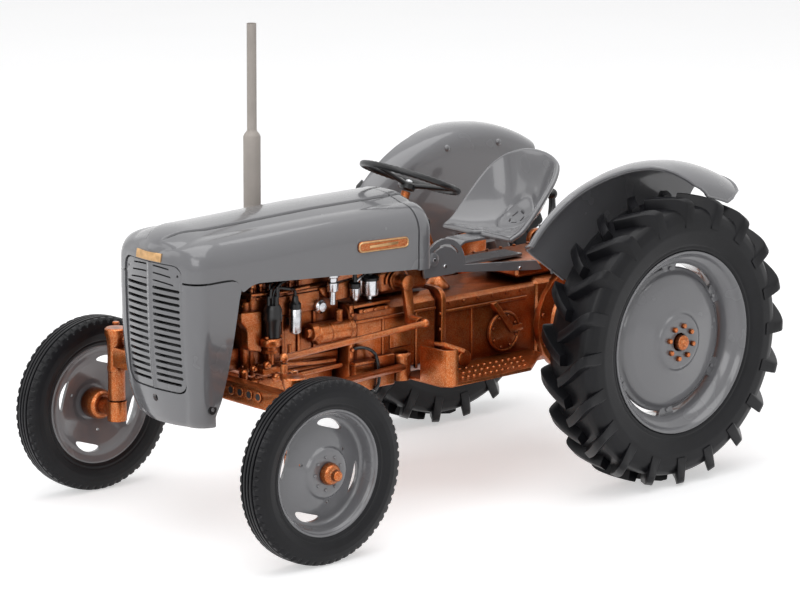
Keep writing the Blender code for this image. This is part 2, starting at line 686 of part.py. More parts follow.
def front_axle():
    """The square beam with a kingpin sleeve at each end, and the two rods that brace it from behind."""
    beam_x = (WHEELBASE - BEAM_THICKNESS / 2, WHEELBASE + BEAM_THICKNESS / 2)
    beam_z = (BEAM_Z - BEAM_DEPTH / 2, BEAM_Z + BEAM_DEPTH / 2)
    axle = block(beam_x, (-KINGPIN_Y, KINGPIN_Y), beam_z)
    sleeves = [rod((WHEELBASE, side * KINGPIN_Y, SLEEVE_BOTTOM), (WHEELBASE, side * KINGPIN_Y, SLEEVE_TOP),
                   SLEEVE_RADIUS) for _, side in SIDES]
    rods = []
    for _, side in SIDES:
        front = sided(side, WHEELBASE - BEAM_THICKNESS / 2 + OVERLAP, KINGPIN_Y - RADIUS_ROD_INBOARD, BEAM_Z)
        rear = sided(side, BONNET_REAR + 0.0005, BELL_HALF_WIDTH + RADIUS_ROD_RADIUS + GAP, BEAM_Z - RADIUS_ROD_DROP)
        rods.append(rod(front, rear, RADIUS_ROD_RADIUS, sides=12))
    axle = fused(axle, *sleeves, *rods)
    bores = [rod((WHEELBASE, side * KINGPIN_Y, SLEEVE_BOTTOM - 0.001),
                 (WHEELBASE, side * KINGPIN_Y, SLEEVE_TOP + 0.001), KINGPIN_RADIUS + RUNNING_GAP)
             for _, side in SIDES]
    holes = [rod(sided(side, beam_x[0] - 0.001, BEAM_HOLE_FIRST + BEAM_HOLE_PITCH * number, BEAM_Z),
                 sided(side, beam_x[1] + 0.001, BEAM_HOLE_FIRST + BEAM_HOLE_PITCH * number, BEAM_Z),
                 BEAM_HOLE_RADIUS, sides=8)
             for _, side in SIDES for number in range(BEAM_HOLES)]
    node("front_axle_beam", cut(axle, *bores, *holes), "bronze_enamel")


def spindle(label, side):
    x, y = kingpin_place(side)
    carrier = body("spindle_" + label, (x, y, FRONT_AXLE_Z))
    knuckle_top = SLEEVE_BOTTOM - GAP
    cap_bottom = SLEEVE_TOP + GAP
    pin = rod((x, y, knuckle_top - 0.001), (x, y, cap_bottom + 0.001), KINGPIN_RADIUS)
    knuckle = rod((x, y, knuckle_top - KNUCKLE_HEIGHT), (x, y, knuckle_top), KNUCKLE_RADIUS)
    cap = rod((x, y, cap_bottom), (x, y, cap_bottom + KINGPIN_CAP_HEIGHT), SLEEVE_RADIUS, SLEEVE_RADIUS * 0.8)
    stub_end = side * (FRONT_WHEEL_Y + HUB_CAP_DEPTH - GAP)
    stub = rod((x, y, FRONT_AXLE_Z), (x, stub_end, FRONT_AXLE_Z), STUB_RADIUS)
    shoulder = rod((x, y, FRONT_AXLE_Z), (x, side * (FRONT_WHEEL_Y + 0.0008), FRONT_AXLE_Z), STUB_RADIUS * 1.5)
    ball_x, ball_y = x + STEERING_ARM_X, y - side * STEERING_ARM_Y
    arm_z = cap_bottom + 0.0006
    across = Vector((STEERING_ARM_Y, side * STEERING_ARM_X, 0)).normalized() * 0.0011
    corners = [(x + across.x, y + across.y), (x - across.x, y - across.y),
               (ball_x - across.x, ball_y - across.y), (ball_x + across.x, ball_y + across.y)]
    arm = extruded(corners, arm_z, arm_z + 0.0014, axis="Z")
    stud = rod((ball_x, ball_y, arm_z + 0.0002), (ball_x, ball_y, DRAG_LINK_Z - BALL_RADIUS - GAP), 0.0009)
    node("spindle_post_" + label, fused(pin, knuckle, cap, stub, shoulder, arm, stud), "bronze_enamel", carrier)
    return carrier, (ball_x, ball_y)


def drag_link(label, side, carrier, front):
    ball_place = (*front, DRAG_LINK_Z)
    link = body("drag_link_" + label, ball_place, carrier)
    rear = sided(side, DROP_BALL_X, DROP_BALL_Y, DRAG_LINK_Z)
    shape = fused(rod(ball_place, rear, DRAG_LINK_RADIUS, sides=12), ball(ball_place, BALL_RADIUS),
                  ball(rear, BALL_RADIUS))
    node("drag_link_rod_" + label, shape, "bronze_enamel", link)


def drop_arm(label, side):
    top = sided(side, DROP_ARM_X, DROP_ARM_Y, DROP_ARM_TOP_Z)
    carrier = body("drop_arm_" + label, top)
    outer = DROP_ARM_Y + DROP_ARM_THICKNESS
    boss = rod(sided(side, DROP_ARM_X, DROP_ARM_Y, DROP_ARM_TOP_Z),
               sided(side, DROP_ARM_X, outer + 0.0004, DROP_ARM_TOP_Z), 0.0019)
    low = rod(sided(side, DROP_BALL_X, DROP_ARM_Y, DRAG_LINK_Z),
              sided(side, DROP_BALL_X, DROP_BALL_Y - BALL_RADIUS - GAP, DRAG_LINK_Z), 0.0013)
    along = Vector((DROP_BALL_X - DROP_ARM_X, 0, DRAG_LINK_Z - DROP_ARM_TOP_Z))
    across = Vector((-along.z, 0, along.x)).normalized() * 0.0014
    corners = [(DROP_ARM_X + across.x, DROP_ARM_TOP_Z + across.z),
               (DROP_ARM_X - across.x, DROP_ARM_TOP_Z - across.z),
               (DROP_BALL_X - across.x * 0.8, DRAG_LINK_Z - across.z * 0.8),
               (DROP_BALL_X + across.x * 0.8, DRAG_LINK_Z + across.z * 0.8)]
    blade = extruded(corners, *span(side, DROP_ARM_Y + 0.0001, outer), axis="Y")
    node("drop_arm_lever_" + label, fused(boss, low, blade), "bronze_enamel", carrier)


# Gearbox and rear axle

def side_fittings(side):
    """What the gearbox carries on one side: round plate with its lever, step, shield and pedal."""
    half = TRANSMISSION_HALF_WIDTH
    plate_z = AXLE_Z
    face = half - OVERLAP
    plate = rod(sided(side, COVER_PLATE_X, face, plate_z), sided(side, COVER_PLATE_X, half + COVER_PLATE_PROUD, plate_z),
                COVER_PLATE_RADIUS, sides=20)
    lever = extruded([(COVER_PLATE_X + 0.0046, plate_z + 0.0078), (COVER_PLATE_X + 0.0032, plate_z + 0.0082),
                      (COVER_PLATE_X - 0.0026, plate_z + 0.0012), (COVER_PLATE_X - 0.0058, plate_z + 0.0014),
                      (COVER_PLATE_X - 0.0060, plate_z - 0.0002), (COVER_PLATE_X - 0.0018, plate_z - 0.0004)],
                     *span(side, face, half + COVER_PLATE_PROUD + 0.0006))
    front = BONNET_REAR
    low = AXLE_Z - STEP_DROP
    outer = STEP_OUTER
    tucked = SHEET / 2
    tread = extruded([(front - tucked, side * face), (front - tucked, side * (outer - 0.0024)),
                      (front - 0.0024, side * (outer - tucked)),
                      (front - STEP_LENGTH * 0.68, side * (outer - 0.0012)), (front - STEP_LENGTH, side * (half + 0.0044)),
                      (front - STEP_LENGTH, side * face)], low - SHEET, low, axis="Z")
    sheet = SHEET
    bend = [(front, side * (half + 0.0072)), (front, side * (outer - 0.0020)), (front - 0.0006, side * (outer - 0.0006)),
            (front - 0.0020, side * outer), (front - 0.0040, side * outer), (front - 0.0040, side * (outer - sheet)),
            (front - 0.0024, side * (outer - sheet)), (front - sheet - 0.0002, side * (outer - sheet - 0.0012)),
            (front - sheet, side * (half + 0.0072))]
    shield = extruded(bend, low - SHEET / 2, low + SHIELD_HEIGHT, axis="Z")
    arm = rod(sided(side, PEDAL_X, BELL_HALF_WIDTH - OVERLAP, plate_z),
              sided(side, PEDAL_X - 0.0010, BELL_HALF_WIDTH + 0.0022, plate_z), 0.0007, sides=10)
    reach = rod(sided(side, PEDAL_X - 0.0008, BELL_HALF_WIDTH + 0.0018, plate_z),
                sided(side, PEDAL_X - PEDAL_REACH, BELL_HALF_WIDTH + 0.0050, plate_z - 0.0018), 0.0007, sides=10)
    pad = rod(sided(side, PEDAL_X - PEDAL_REACH - 0.0002, BELL_HALF_WIDTH + 0.0042, plate_z - 0.0036),
              sided(side, PEDAL_X - PEDAL_REACH - 0.0002, BELL_HALF_WIDTH + 0.0050, plate_z - 0.0036), 0.0021)
    return [plate, lever, tread, shield, arm, reach, pad]


def rear_axle(side):
    """One side's axle trumpet with its brake backplate, mudguard bracket and lower link pin."""
    flange = TRANSMISSION_HALF_WIDTH + AXLE_FLANGE_THICKNESS
    profile = [(0, TRANSMISSION_HALF_WIDTH - OVERLAP), (AXLE_FLANGE_RADIUS, TRANSMISSION_HALF_WIDTH - OVERLAP),
               (AXLE_FLANGE_RADIUS, flange), (AXLE_FLANGE_RADIUS * 0.70, flange),
               (AXLE_TUBE_RADIUS * 1.35, (flange + BACKPLATE_Y) / 2 - 0.0022),
               (AXLE_TUBE_RADIUS, (flange + BACKPLATE_Y) / 2 + 0.0028),
               (AXLE_TUBE_RADIUS, BACKPLATE_Y), (BACKPLATE_RADIUS, BACKPLATE_Y),
               (BACKPLATE_RADIUS, BACKPLATE_Y + BACKPLATE_THICKNESS), (0, BACKPLATE_Y + BACKPLATE_THICKNESS)]
    trumpet = turned([(r, side * offset) for r, offset in profile], (0, 0, AXLE_Z), 22, closed=False)
    bracket_out = GUARD_INNER_Y - GUARD_SHEET / 2 - GAP
    bracket = block((-GUARD_BRACKET_HALF_WIDTH, GUARD_BRACKET_HALF_WIDTH), span(side, bracket_out - 0.0012, bracket_out),
                    (AXLE_Z + 0.003, AXLE_Z + GUARD_BOTTOM_RISE + 0.0038))
    eye_in = LOWER_LINK_PIVOT_Y - LOWER_EYE_HALF - GAP
    ear = block((LOWER_LINK_PIVOT_X - 0.0024, LOWER_LINK_PIVOT_X + 0.0024), span(side, eye_in - 0.0030, eye_in),
                (LOWER_LINK_Z - 0.0022, CENTRE_HOUSING_BOTTOM + 0.0010))
    pin = rod(sided(side, LOWER_LINK_PIVOT_X, eye_in - 0.0010, LOWER_LINK_Z),
              sided(side, LOWER_LINK_PIVOT_X, LOWER_LINK_PIVOT_Y + 0.0020, LOWER_LINK_Z), LIFT_PIN_RADIUS)
    return [trumpet, bracket, ear, pin]


def rim_plate(rear, front, half, low, high):
    """A housing's flange: a plate across the tractor with rounded corners."""
    corner = 0.0030
    outline = (arc((half - corner, high - corner), corner, 0, 90, 3)
               + arc((corner - half, high - corner), corner, 90, 180, 3)
               + arc((corner - half, low + corner), corner, 180, 270, 3)
               + arc((half - corner, low + corner), corner, 270, 360, 3))
    return lofted([[(x, y, z) for y, z in outline] for x in (rear, front)])


def power_train():
    """Bell housing, gearbox and rear axle: one casting, which with the engine is the tractor's frame."""
    half = TRANSMISSION_HALF_WIDTH
    gearbox = block((CENTRE_HOUSING_FRONT - 0.0020, BELL_REAR + OVERLAP), (-half + 0.0004, half - 0.0004),
                    (TRANSMISSION_BOTTOM, TRANSMISSION_TOP), 0.0010)
    bell_low = AXLE_Z - BELL_DROP
    bell = block((BELL_REAR, BELL_FRONT - 0.0008), (-BELL_HALF_WIDTH, BELL_HALF_WIDTH), (bell_low, BELL_TOP), 0.0024)
    flange = rim_plate(BELL_REAR - 0.0006, BELL_REAR + 0.0008, BELL_HALF_WIDTH + BELL_FLANGE,
                       bell_low - BELL_FLANGE, BELL_TOP + BELL_FLANGE / 2)
    engine_flange = rim_plate(BELL_FRONT - 0.0016, BELL_FRONT, BELL_HALF_WIDTH + BELL_FLANGE / 2,
                              bell_low - BELL_FLANGE, BELL_TOP + BELL_FLANGE / 2)
    centre = block((CENTRE_HOUSING_REAR, CENTRE_HOUSING_FRONT), (-half, half),
                   (CENTRE_HOUSING_BOTTOM, CENTRE_HOUSING_TOP), 0.0018)
    rear = CENTRE_HOUSING_REAR - TOP_FORK_DEPTH
    fork_z = AXLE_Z + TOP_FORK_RISE
    ears = [block((rear, CENTRE_HOUSING_REAR + 0.0010), span(side, TOP_FORK_SLOT, TOP_FORK_HALF_WIDTH),
                  (fork_z - TOP_FORK_HALF_HEIGHT, fork_z + TOP_FORK_HALF_HEIGHT)) for _, side in SIDES]
    parts = [flange, engine_flange, bell, gearbox, *ears]
    for _, side in SIDES:
        parts += rear_axle(side)
        parts += side_fittings(side)
    node("gearbox_and_rear_axle", fused(centre, *parts), "bronze_enamel")
    cover = block((LIFT_SHAFT_X, 0.0200), (-LIFT_COVER_HALF_WIDTH, LIFT_COVER_HALF_WIDTH),
                  (CENTRE_HOUSING_TOP + GAP, LIFT_COVER_TOP), 0.0008)
    end = TRANSMISSION_HALF_WIDTH
    housing = rod((LIFT_SHAFT_X, -end, LIFT_SHAFT_Z), (LIFT_SHAFT_X, end, LIFT_SHAFT_Z), LIFT_HUB_RADIUS)
    bore = rod((LIFT_SHAFT_X, -end * 2, LIFT_SHAFT_Z), (LIFT_SHAFT_X, end * 2, LIFT_SHAFT_Z),
               LIFT_SHAFT_RADIUS + RUNNING_GAP)
    node("lift_cover", cut(fused(cover, housing), bore), "bronze_enamel")
    flange_end = CENTRE_HOUSING_REAR - GAP
    pto_z = AXLE_Z - PTO_DROP
    collar = rod((flange_end, 0, pto_z), (flange_end - 0.0010, 0, pto_z), PTO_RADIUS + 0.0018)
    shaft = rod((flange_end - 0.0005, 0, pto_z), (flange_end - PTO_LENGTH, 0, pto_z), PTO_RADIUS)
    node("power_take_off", fused(collar, shaft), "bright_metal")


# Engine

def engine():
    """Block, head, sump and front cover with the fittings cast or bolted on the left side."""
    width = ENGINE_HALF_WIDTH
    front = ENGINE_FRONT
    casting = block((ENGINE_REAR, front), (-width, width), (BLOCK_BOTTOM, BLOCK_TOP), 0.0006)
    head = block((ENGINE_REAR + 0.0012, front - 0.0010), (-HEAD_HALF_WIDTH, HEAD_HALF_WIDTH),
                 (BLOCK_TOP - OVERLAP, HEAD_TOP), 0.0008)
    sump = block((ENGINE_REAR + 0.0004, front - 0.0020), (-SUMP_HALF_WIDTH, SUMP_HALF_WIDTH),
                 (BLOCK_BOTTOM - SUMP_DEPTH, BLOCK_BOTTOM + OVERLAP), 0.0012)
    cover = block((front - OVERLAP, front + 0.0016), (-width + 0.0006, width - 0.0006),
                  (BLOCK_BOTTOM + 0.0008, BLOCK_TOP - 0.0012), 0.0008)
    starter_y = width + STARTER_RADIUS * 0.75
    starter_z = BLOCK_BOTTOM + 0.0092
    starter = rod((ENGINE_REAR - GAP + 0.0005, starter_y, starter_z),
                  (ENGINE_REAR + STARTER_LENGTH, starter_y, starter_z), STARTER_RADIUS)
    nose = rod((ENGINE_REAR + STARTER_LENGTH - 0.0002, starter_y, starter_z),
               (ENGINE_REAR + STARTER_LENGTH + 0.0012, starter_y, starter_z), STARTER_RADIUS * 0.55, sides=10)
    drive = rod((front - 0.0048, width + 0.0010, BLOCK_BOTTOM + 0.0060),
                (front - 0.0048, width + 0.0010, BLOCK_BOTTOM + 0.0092), 0.0024)
    ledge = block((ENGINE_REAR + 0.0014, front - 0.0012), (width - OVERLAP, width + 0.0009),
                  (BLOCK_BOTTOM + 0.0020, BLOCK_BOTTOM + 0.0034))
    ports = [rod((front - 0.0046 - 0.0062 * number, -width - 0.0009, BLOCK_TOP - 0.0028),
                 (front - 0.0046 - 0.0062 * number, 0, BLOCK_TOP - 0.0028), 0.0016, sides=10) for number in range(3)]
    tappets = block((ENGINE_REAR + 0.0070, front - 0.0080), (width - OVERLAP, width + 0.0006),
                    (BLOCK_TOP - 0.0062, BLOCK_TOP - 0.0016))
    pump = rod((front + 0.0010, 0, BLOCK_TOP - 0.0014), (front + 0.0030, 0, BLOCK_TOP - 0.0014), PULLEY_RADIUS * 0.8)
    node("engine_block", fused(casting, head, sump, cover, starter, nose, drive, ledge, tappets, pump, *ports),
         "bronze_enamel")


def fan():
    """Fan blades on the water pump's pulley, with the crank pulley under it and the belt between them."""
    back = ENGINE_FRONT + 0.0030 + GAP
    middle = BLOCK_TOP - 0.0014
    crank = BLOCK_BOTTOM + 0.0056
    hub = rod((back, 0, middle), (back + 0.0016, 0, middle), PULLEY_RADIUS)
    low = rod((back, 0, crank), (back + 0.0016, 0, crank), PULLEY_RADIUS * 1.25)
    belt = block((back + 0.0004, back + 0.0012), (-PULLEY_RADIUS * 0.85, PULLEY_RADIUS * 0.85), (crank, middle))
    blades = [block((back + 0.0010, back + 0.0018), y, z) for y, z in
              (((-FAN_RADIUS, FAN_RADIUS), (middle - 0.0013, middle + 0.0013)),
               ((-0.0013, 0.0013), (middle - FAN_RADIUS, middle + FAN_RADIUS * 0.9)))]
    node("fan_and_pulleys", fused(hub, low, belt, *blades), "black_plastic")


def engine_fittings():
    """The small bright and black pieces that stand along the engine's left side."""
    face = ENGINE_HALF_WIDTH + GAP
    drive_x = ENGINE_FRONT - 0.0048
    drive_y = ENGINE_HALF_WIDTH + 0.0010
    drive_top = BLOCK_BOTTOM + 0.0092 + GAP
    body_radius = 0.0016
    stack = rod((drive_x, face + body_radius, drive_top), (drive_x, face + body_radius, drive_top + 0.0060), body_radius)
    cap = rod((drive_x, face + 0.0025, drive_top + 0.0056), (drive_x, face + 0.0025, drive_top + 0.0094), 0.0021)
    towers = [rod((drive_x + a, face + 0.0025 + b, drive_top + 0.0090), (drive_x + a, face + 0.0025 + b, drive_top + 0.0110),
                  0.0004, sides=8) for a, b in ((0.0012, 0), (-0.0012, 0), (0, 0.0012), (0, -0.0012))]
    node("distributor", fused(stack, cap, *towers), "black_plastic")
    coil_x = ENGINE_FRONT - 0.0115
    coil_y = face + 0.0006 + 0.0015
    coil = rod((coil_x, coil_y, BLOCK_BOTTOM + 0.0100), (coil_x, coil_y, BLOCK_TOP - 0.0040), 0.0015)
    coil_cap = rod((coil_x, coil_y, BLOCK_TOP - 0.0042), (coil_x, coil_y, BLOCK_TOP - 0.0010), 0.0010, sides=12)
    node("ignition_coil", fused(coil, coil_cap), "bright_metal")
    filler_x = ENGINE_REAR + 0.0046
    filler = rod((filler_x, face + 0.0016, BLOCK_TOP - 0.0036), (filler_x, face + 0.0016, BLOCK_TOP - 0.0006), 0.0008, sides=12)
    neck = rod((filler_x, face + 0.0016, BLOCK_TOP - 0.0010), (filler_x, face + 0.0016, BLOCK_TOP + 0.0016), 0.0014)
    lid = rod((filler_x, face + 0.0016, BLOCK_TOP + 0.0012), (filler_x, face + 0.0016, BLOCK_TOP + 0.0034), 0.0010)
    node("oil_filler", fused(filler, neck, lid), "bright_metal")
    gauge = rod((filler_x + 0.0036, face + 0.0006, BLOCK_TOP - 0.0052), (filler_x + 0.0036, face + 0.0018, BLOCK_TOP - 0.0052),
                0.0014)
    node("oil_tap", gauge, "bright_metal")
    bowl_x = BELL_FRONT - 0.0030
    bowl = rod((bowl_x, BELL_HALF_WIDTH - 0.0008, BELL_TOP + GAP + 0.0008), (bowl_x, BELL_HALF_WIDTH - 0.0008, BELL_TOP + 0.0046), 0.0009,
               0.0013)
    stem = rod((bowl_x, BELL_HALF_WIDTH - 0.0008, BELL_TOP + 0.0042), (bowl_x, BELL_HALF_WIDTH - 0.0008, HEAD_TOP - 0.0002), 0.0006,
               sides=10)
    node("fuel_bowl", fused(bowl, stem), "bright_metal")
    drum_x = BELL_FRONT - 0.0084
    foot = rod((drum_x, BELL_HALF_WIDTH - 0.0020, BELL_TOP + GAP), (drum_x, BELL_HALF_WIDTH - 0.0020, BELL_TOP + 0.0018), 0.0010)
    drum = rod((drum_x, BELL_HALF_WIDTH - 0.0020, BELL_TOP + 0.0014), (drum_x, BELL_HALF_WIDTH - 0.0020, BELL_TOP + 0.0052), 0.0021)
    node("fuel_filter", fused(foot, drum), "bright_metal")


# Hydraulic lift

def lever_outline(near, far, near_radius, far_radius):
    """A flat lever's outline: two round ends and the straight sides between them."""
    turn = math.degrees(math.atan2(far[1] - near[1], far[0] - near[0]))
    return (arc(far, far_radius, turn - 90, turn + 90, 6)
            + arc(near, near_radius, turn + 90, turn + 270, 6))


def rear_lift():
    lift = body("lift_arms", (LIFT_SHAFT_X, 0, LIFT_SHAFT_Z))
    shaft_end = LIFT_ARM_Y + OVERLAP
    shape = rod((LIFT_SHAFT_X, -shaft_end, LIFT_SHAFT_Z), (LIFT_SHAFT_X, shaft_end, LIFT_SHAFT_Z), LIFT_SHAFT_RADIUS)
    outline = lever_outline((LIFT_SHAFT_X, LIFT_SHAFT_Z), (LIFT_ARM_END_X, LIFT_ARM_END_Z),
                            LIFT_HUB_RADIUS, LIFT_EYE_RADIUS)
    arms = [extruded(outline, *span(side, LIFT_ARM_Y, LIFT_ARM_Y + LIFT_ARM_THICKNESS)) for _, side in SIDES]
    pins = [rod(sided(side, LIFT_ARM_END_X, LIFT_ARM_Y + 0.0004, LIFT_ARM_END_Z),
                sided(side, LIFT_ARM_END_X, LIFT_ROD_Y + LIFT_EYE_HALF, LIFT_ARM_END_Z), LIFT_PIN_RADIUS, sides=12)
            for _, side in SIDES]
    node("lift_arm_pair", fused(shape, *arms, *pins), "bronze_enamel", lift)
    for label, side in SIDES:
        lift_rod(label, side, lift)
        lower_link(label, side)


def lift_rod(label, side, lift):
    top = sided(side, LIFT_ARM_END_X, LIFT_ROD_Y, LIFT_ARM_END_Z)
    carrier = body("lift_rod_" + label, top, lift)
    low = sided(side, LIFT_ARM_END_X, LIFT_ROD_Y, LOWER_LINK_Z)
    eyes = [rod(sided(side, place[0], LIFT_ROD_Y - LIFT_EYE_HALF, place[2]),
                sided(side, place[0], LIFT_ROD_Y + LIFT_EYE_HALF, place[2]), LIFT_EYE_RADIUS)
            for place in (top, low)]
    shape = fused(rod(top, low, LIFT_ROD_RADIUS, sides=12), *eyes)
    bore = rod(sided(side, top[0], LIFT_ROD_Y - LIFT_EYE_HALF * 2, top[2]),
               sided(side, top[0], LIFT_ROD_Y + LIFT_EYE_HALF * 2, top[2]), LIFT_PIN_RADIUS + RUNNING_GAP, sides=12)
    node("lift_rod_bar_" + label, cut(shape, bore), "bronze_enamel", carrier)


def lower_link(label, side):
    carrier = body("lower_link_" + label, sided(side, LOWER_LINK_PIVOT_X, LOWER_LINK_PIVOT_Y, LOWER_LINK_Z))
    half = LOWER_LINK_THICKNESS / 2
    ends = ((LOWER_LINK_PIVOT_X, LOWER_LINK_PIVOT_Y), (LOWER_LINK_END_X, LOWER_LINK_END_Y))
    rings = []
    for share, depth in ((0, LOWER_LINK_DEPTH), (0.5, LOWER_LINK_DEPTH), (1, LOWER_LINK_DEPTH * 0.8)):
        x = ends[0][0] + share * (ends[1][0] - ends[0][0])
        y = ends[0][1] + share * (ends[1][1] - ends[0][1])
        rings.append([sided(side, x, y + dy, LOWER_LINK_Z + dz)
                      for dy, dz in ((-half, -depth / 2), (half, -depth / 2), (half, depth / 2), (-half, depth / 2))])
    eyes = [rod(sided(side, x, y - LOWER_EYE_HALF, LOWER_LINK_Z), sided(side, x, y + LOWER_EYE_HALF, LOWER_LINK_Z),
                LOWER_EYE_RADIUS) for x, y in ends]
    bores = [rod(sided(side, x, y - 0.003, LOWER_LINK_Z), sided(side, x, y + 0.003, LOWER_LINK_Z), LOWER_BORE_RADIUS)
             for x, y in ends]
    node("lower_link_bar_" + label, cut(fused(lofted(rings), *eyes), *bores), "bronze_enamel", carrier)


# Bonnet, nose and cowl

def hood_section(x, half_width, top, edge, corner=BONNET_CORNER):
    """One cross section of the bonnet, from its left lower edge over the top to the right one."""
    side = [(half_width, edge)] + [(half_width - corner + a, top - BONNET_CROWN - corner + b)
                                   for a, b in arc((0, 0), corner, 0, 90, 4)]
    flat = half_width - corner
    middle = [(flat * share, top - BONNET_CROWN * share * share) for share in (0.75, 0.5, 0.25)]
    left = side + middle
    return [(x, y, z) for y, z in left + [(0, top)] + [(-y, z) for y, z in reversed(left)]]


def shell(rows, thickness, front_cap=False):
    """A sheet through rows of points, thickened towards its inside."""
    bm = bmesh.new()
    grid = [[bm.verts.new(point) for point in row] for row in rows]
    for near, far in zip(grid, grid[1:]):
        for i in range(len(near) - 1):
            bm.faces.new((near[i], near[i + 1], far[i + 1], far[i]))
    if front_cap:
        bm.faces.new(grid[-1])
    mesh = bpy.data.meshes.new("sheet")
    bm.to_mesh(mesh)
    bm.free()
    sheet = bpy.data.objects.new("sheet", mesh)
    MODEL.objects.link(sheet)
    thicken = sheet.modifiers.new("thickness", "SOLIDIFY")
    thicken.thickness = abs(thickness)
    thicken.offset = -1 if thickness > 0 else 1
    thicken.use_even_offset = True
    bpy.context.view_layer.update()
    return squared(baked(sheet))


def bonnet():
    """The tilting hood: its side edge rises a little forward, dips behind the cheek and then rests on it."""
    stations = (
        # share of the length, drop of the top, rise of the edge above its rear height
        (0.00, 0.0000, 0.0000),
        (0.45, 0.0002, 0.0014),
        (0.88, 0.0010, 0.0026),
        (0.94, 0.0011, 0.0016),
        (0.98, 0.0012, 0.0030 - NOSE_TOOTH),
        (1.00, 0.0012, 0.0030 - NOSE_TOOTH),
        (1.02, 0.0013, 0.0018),
        (1.05, 0.0014, 0.0030),
    )
    rows = []
    for share, drop, rise in stations:
        width = BONNET_HALF_WIDTH + min(share, 1) * (NOSE_HALF_WIDTH - BONNET_HALF_WIDTH)
        rows.append(hood_section(BONNET_REAR + share * BONNET_LENGTH, width, BONNET_TOP - drop, BONNET_EDGE + rise))
    nose = (
        # distance behind the front, narrowing, drop of the top, share of the corner
        (0.0070, 0.0001, 0.0020, 0.90),
        (0.0032, 0.0012, 0.0034, 0.84),
        (0.0010, 0.0030, 0.0052, 0.80),
        (0.0000, 0.0042, 0.0066, 0.78),
    )
    for back, narrow, drop, round_share in nose:
        rows.append(hood_section(NOSE_FRONT - back, NOSE_HALF_WIDTH - narrow, BONNET_TOP - drop, NOSE_SPLIT,
                                 BONNET_CORNER * round_share))
    opening = block((NOSE_FRONT - 0.0025, NOSE_FRONT + 0.0020),
                    (-GRILLE_HALF_WIDTH - GAP, GRILLE_HALF_WIDTH + GAP), (NOSE_SPLIT - 0.002, GRILLE_TOP + GAP))
    node("bonnet", cut(shell(rows, SHEET, front_cap=True), opening), "grey_enamel")


def nose_panel():
    """The cheeks and lower bar round the grille: one bent sheet, open at the rear."""
    def bend(inset):
        corner = (NOSE_FRONT - NOSE_CORNER, NOSE_HALF_WIDTH - NOSE_CORNER)
        left = [(NOSE_REAR - 0.0010, NOSE_HALF_WIDTH - inset)] + arc(corner, NOSE_CORNER - inset, 90, 0, 6)
        return left + [(x, -y) for x, y in reversed(left)]
    sheet = extruded(bend(0) + bend(0.0010)[::-1], NOSE_BOTTOM, NOSE_SPLIT - GAP, axis="Z")
    opening = block((NOSE_FRONT - 0.0025, NOSE_FRONT + 0.0020),
                    (-GRILLE_HALF_WIDTH - GAP, GRILLE_HALF_WIDTH + GAP), (GRILLE_BOTTOM - GAP, NOSE_SPLIT + 0.002))
    past = 0.0050
    height = NOSE_SPLIT - NOSE_BOTTOM
    rear_edge = [(NOSE_REAR - past, NOSE_BOTTOM - past), (NOSE_REAR + NOSE_SWEEP, NOSE_BOTTOM - past),
                 (NOSE_REAR + NOSE_SWEEP * 0.85, NOSE_BOTTOM + height * 0.31),
                 (NOSE_REAR + NOSE_SWEEP * 0.35, NOSE_BOTTOM + height * 0.72),
                 (NOSE_REAR, NOSE_SPLIT - NOSE_TOOTH - GAP), (NOSE_REAR + BONNET_LENGTH * 0.02 + GAP, NOSE_SPLIT - 0.0016),
                 (NOSE_REAR + BONNET_LENGTH * 0.05, NOSE_SPLIT - GAP), (NOSE_REAR + BONNET_LENGTH * 0.05, NOSE_SPLIT + past),
                 (NOSE_REAR - past, NOSE_SPLIT + past)]
    behind = extruded(rear_edge, -NOSE_HALF_WIDTH - past, NOSE_HALF_WIDTH + past)
    hole_z = GRILLE_BOTTOM - 0.0024
    hole = rod((NOSE_FRONT - 0.003, 0, hole_z), (NOSE_FRONT + 0.002, 0, hole_z), HANDLE_HOLE_RADIUS, sides=10)
    node("nose_panel", cut(sheet, opening, behind, hole), "grey_enamel")


def grille():
    back = NOSE_FRONT - 0.0012
    plate = block((back, NOSE_FRONT - 0.0001), (-GRILLE_HALF_WIDTH, GRILLE_HALF_WIDTH), (GRILLE_BOTTOM, GRILLE_TOP))
    pitch = (GRILLE_TOP - GRILLE_BOTTOM - 2 * GRILLE_MARGIN) / GRILLE_SLOTS
    slots = []
    for row in range(GRILLE_SLOTS):
        low = GRILLE_BOTTOM + GRILLE_MARGIN + pitch * (row + 0.22)
        for _, side in SIDES:
            slots.append(((back - 0.001, NOSE_FRONT + 0.001), span(side, 0.0009, GRILLE_HALF_WIDTH - GRILLE_MARGIN),
                          (low, low + pitch * 0.56)))
    node("grille", cut(plate, blocks(slots)), "grey_enamel")


def inside_bonnet():
    """The radiator on its bolster, and the fuel tank over the engine."""
    beam_top = BEAM_Z + BEAM_DEPTH / 2
    bolster_top = beam_top + 0.0056
    height = (beam_top + GAP, bolster_top)
    seat = block((ENGINE_FRONT + 0.0056, NOSE_REAR + 0.0080), (-0.0060, 0.0060), height)
    cheeks = [block((ENGINE_FRONT + 0.0016 + GAP, ENGINE_FRONT + 0.0056 + OVERLAP), span(side, 0.0046, 0.0060), height)
              for _, side in SIDES]
    node("front_bolster", fused(seat, *cheeks), "bronze_enamel")
    rear = NOSE_REAR + 0.0015
    node("radiator", block((rear, rear + RADIATOR_DEPTH), (-RADIATOR_HALF_WIDTH, RADIATOR_HALF_WIDTH),
                           (bolster_top + GAP, BONNET_TOP - 0.0076)), "black_plastic")
    tank_rear = BONNET_REAR + 0.0040
    node("fuel_tank", block((tank_rear, tank_rear + TANK_LENGTH), (-TANK_HALF_WIDTH, TANK_HALF_WIDTH),
                            (HEAD_TOP + GAP, HEAD_TOP + GAP + TANK_HEIGHT), 0.0012), "black_plastic")


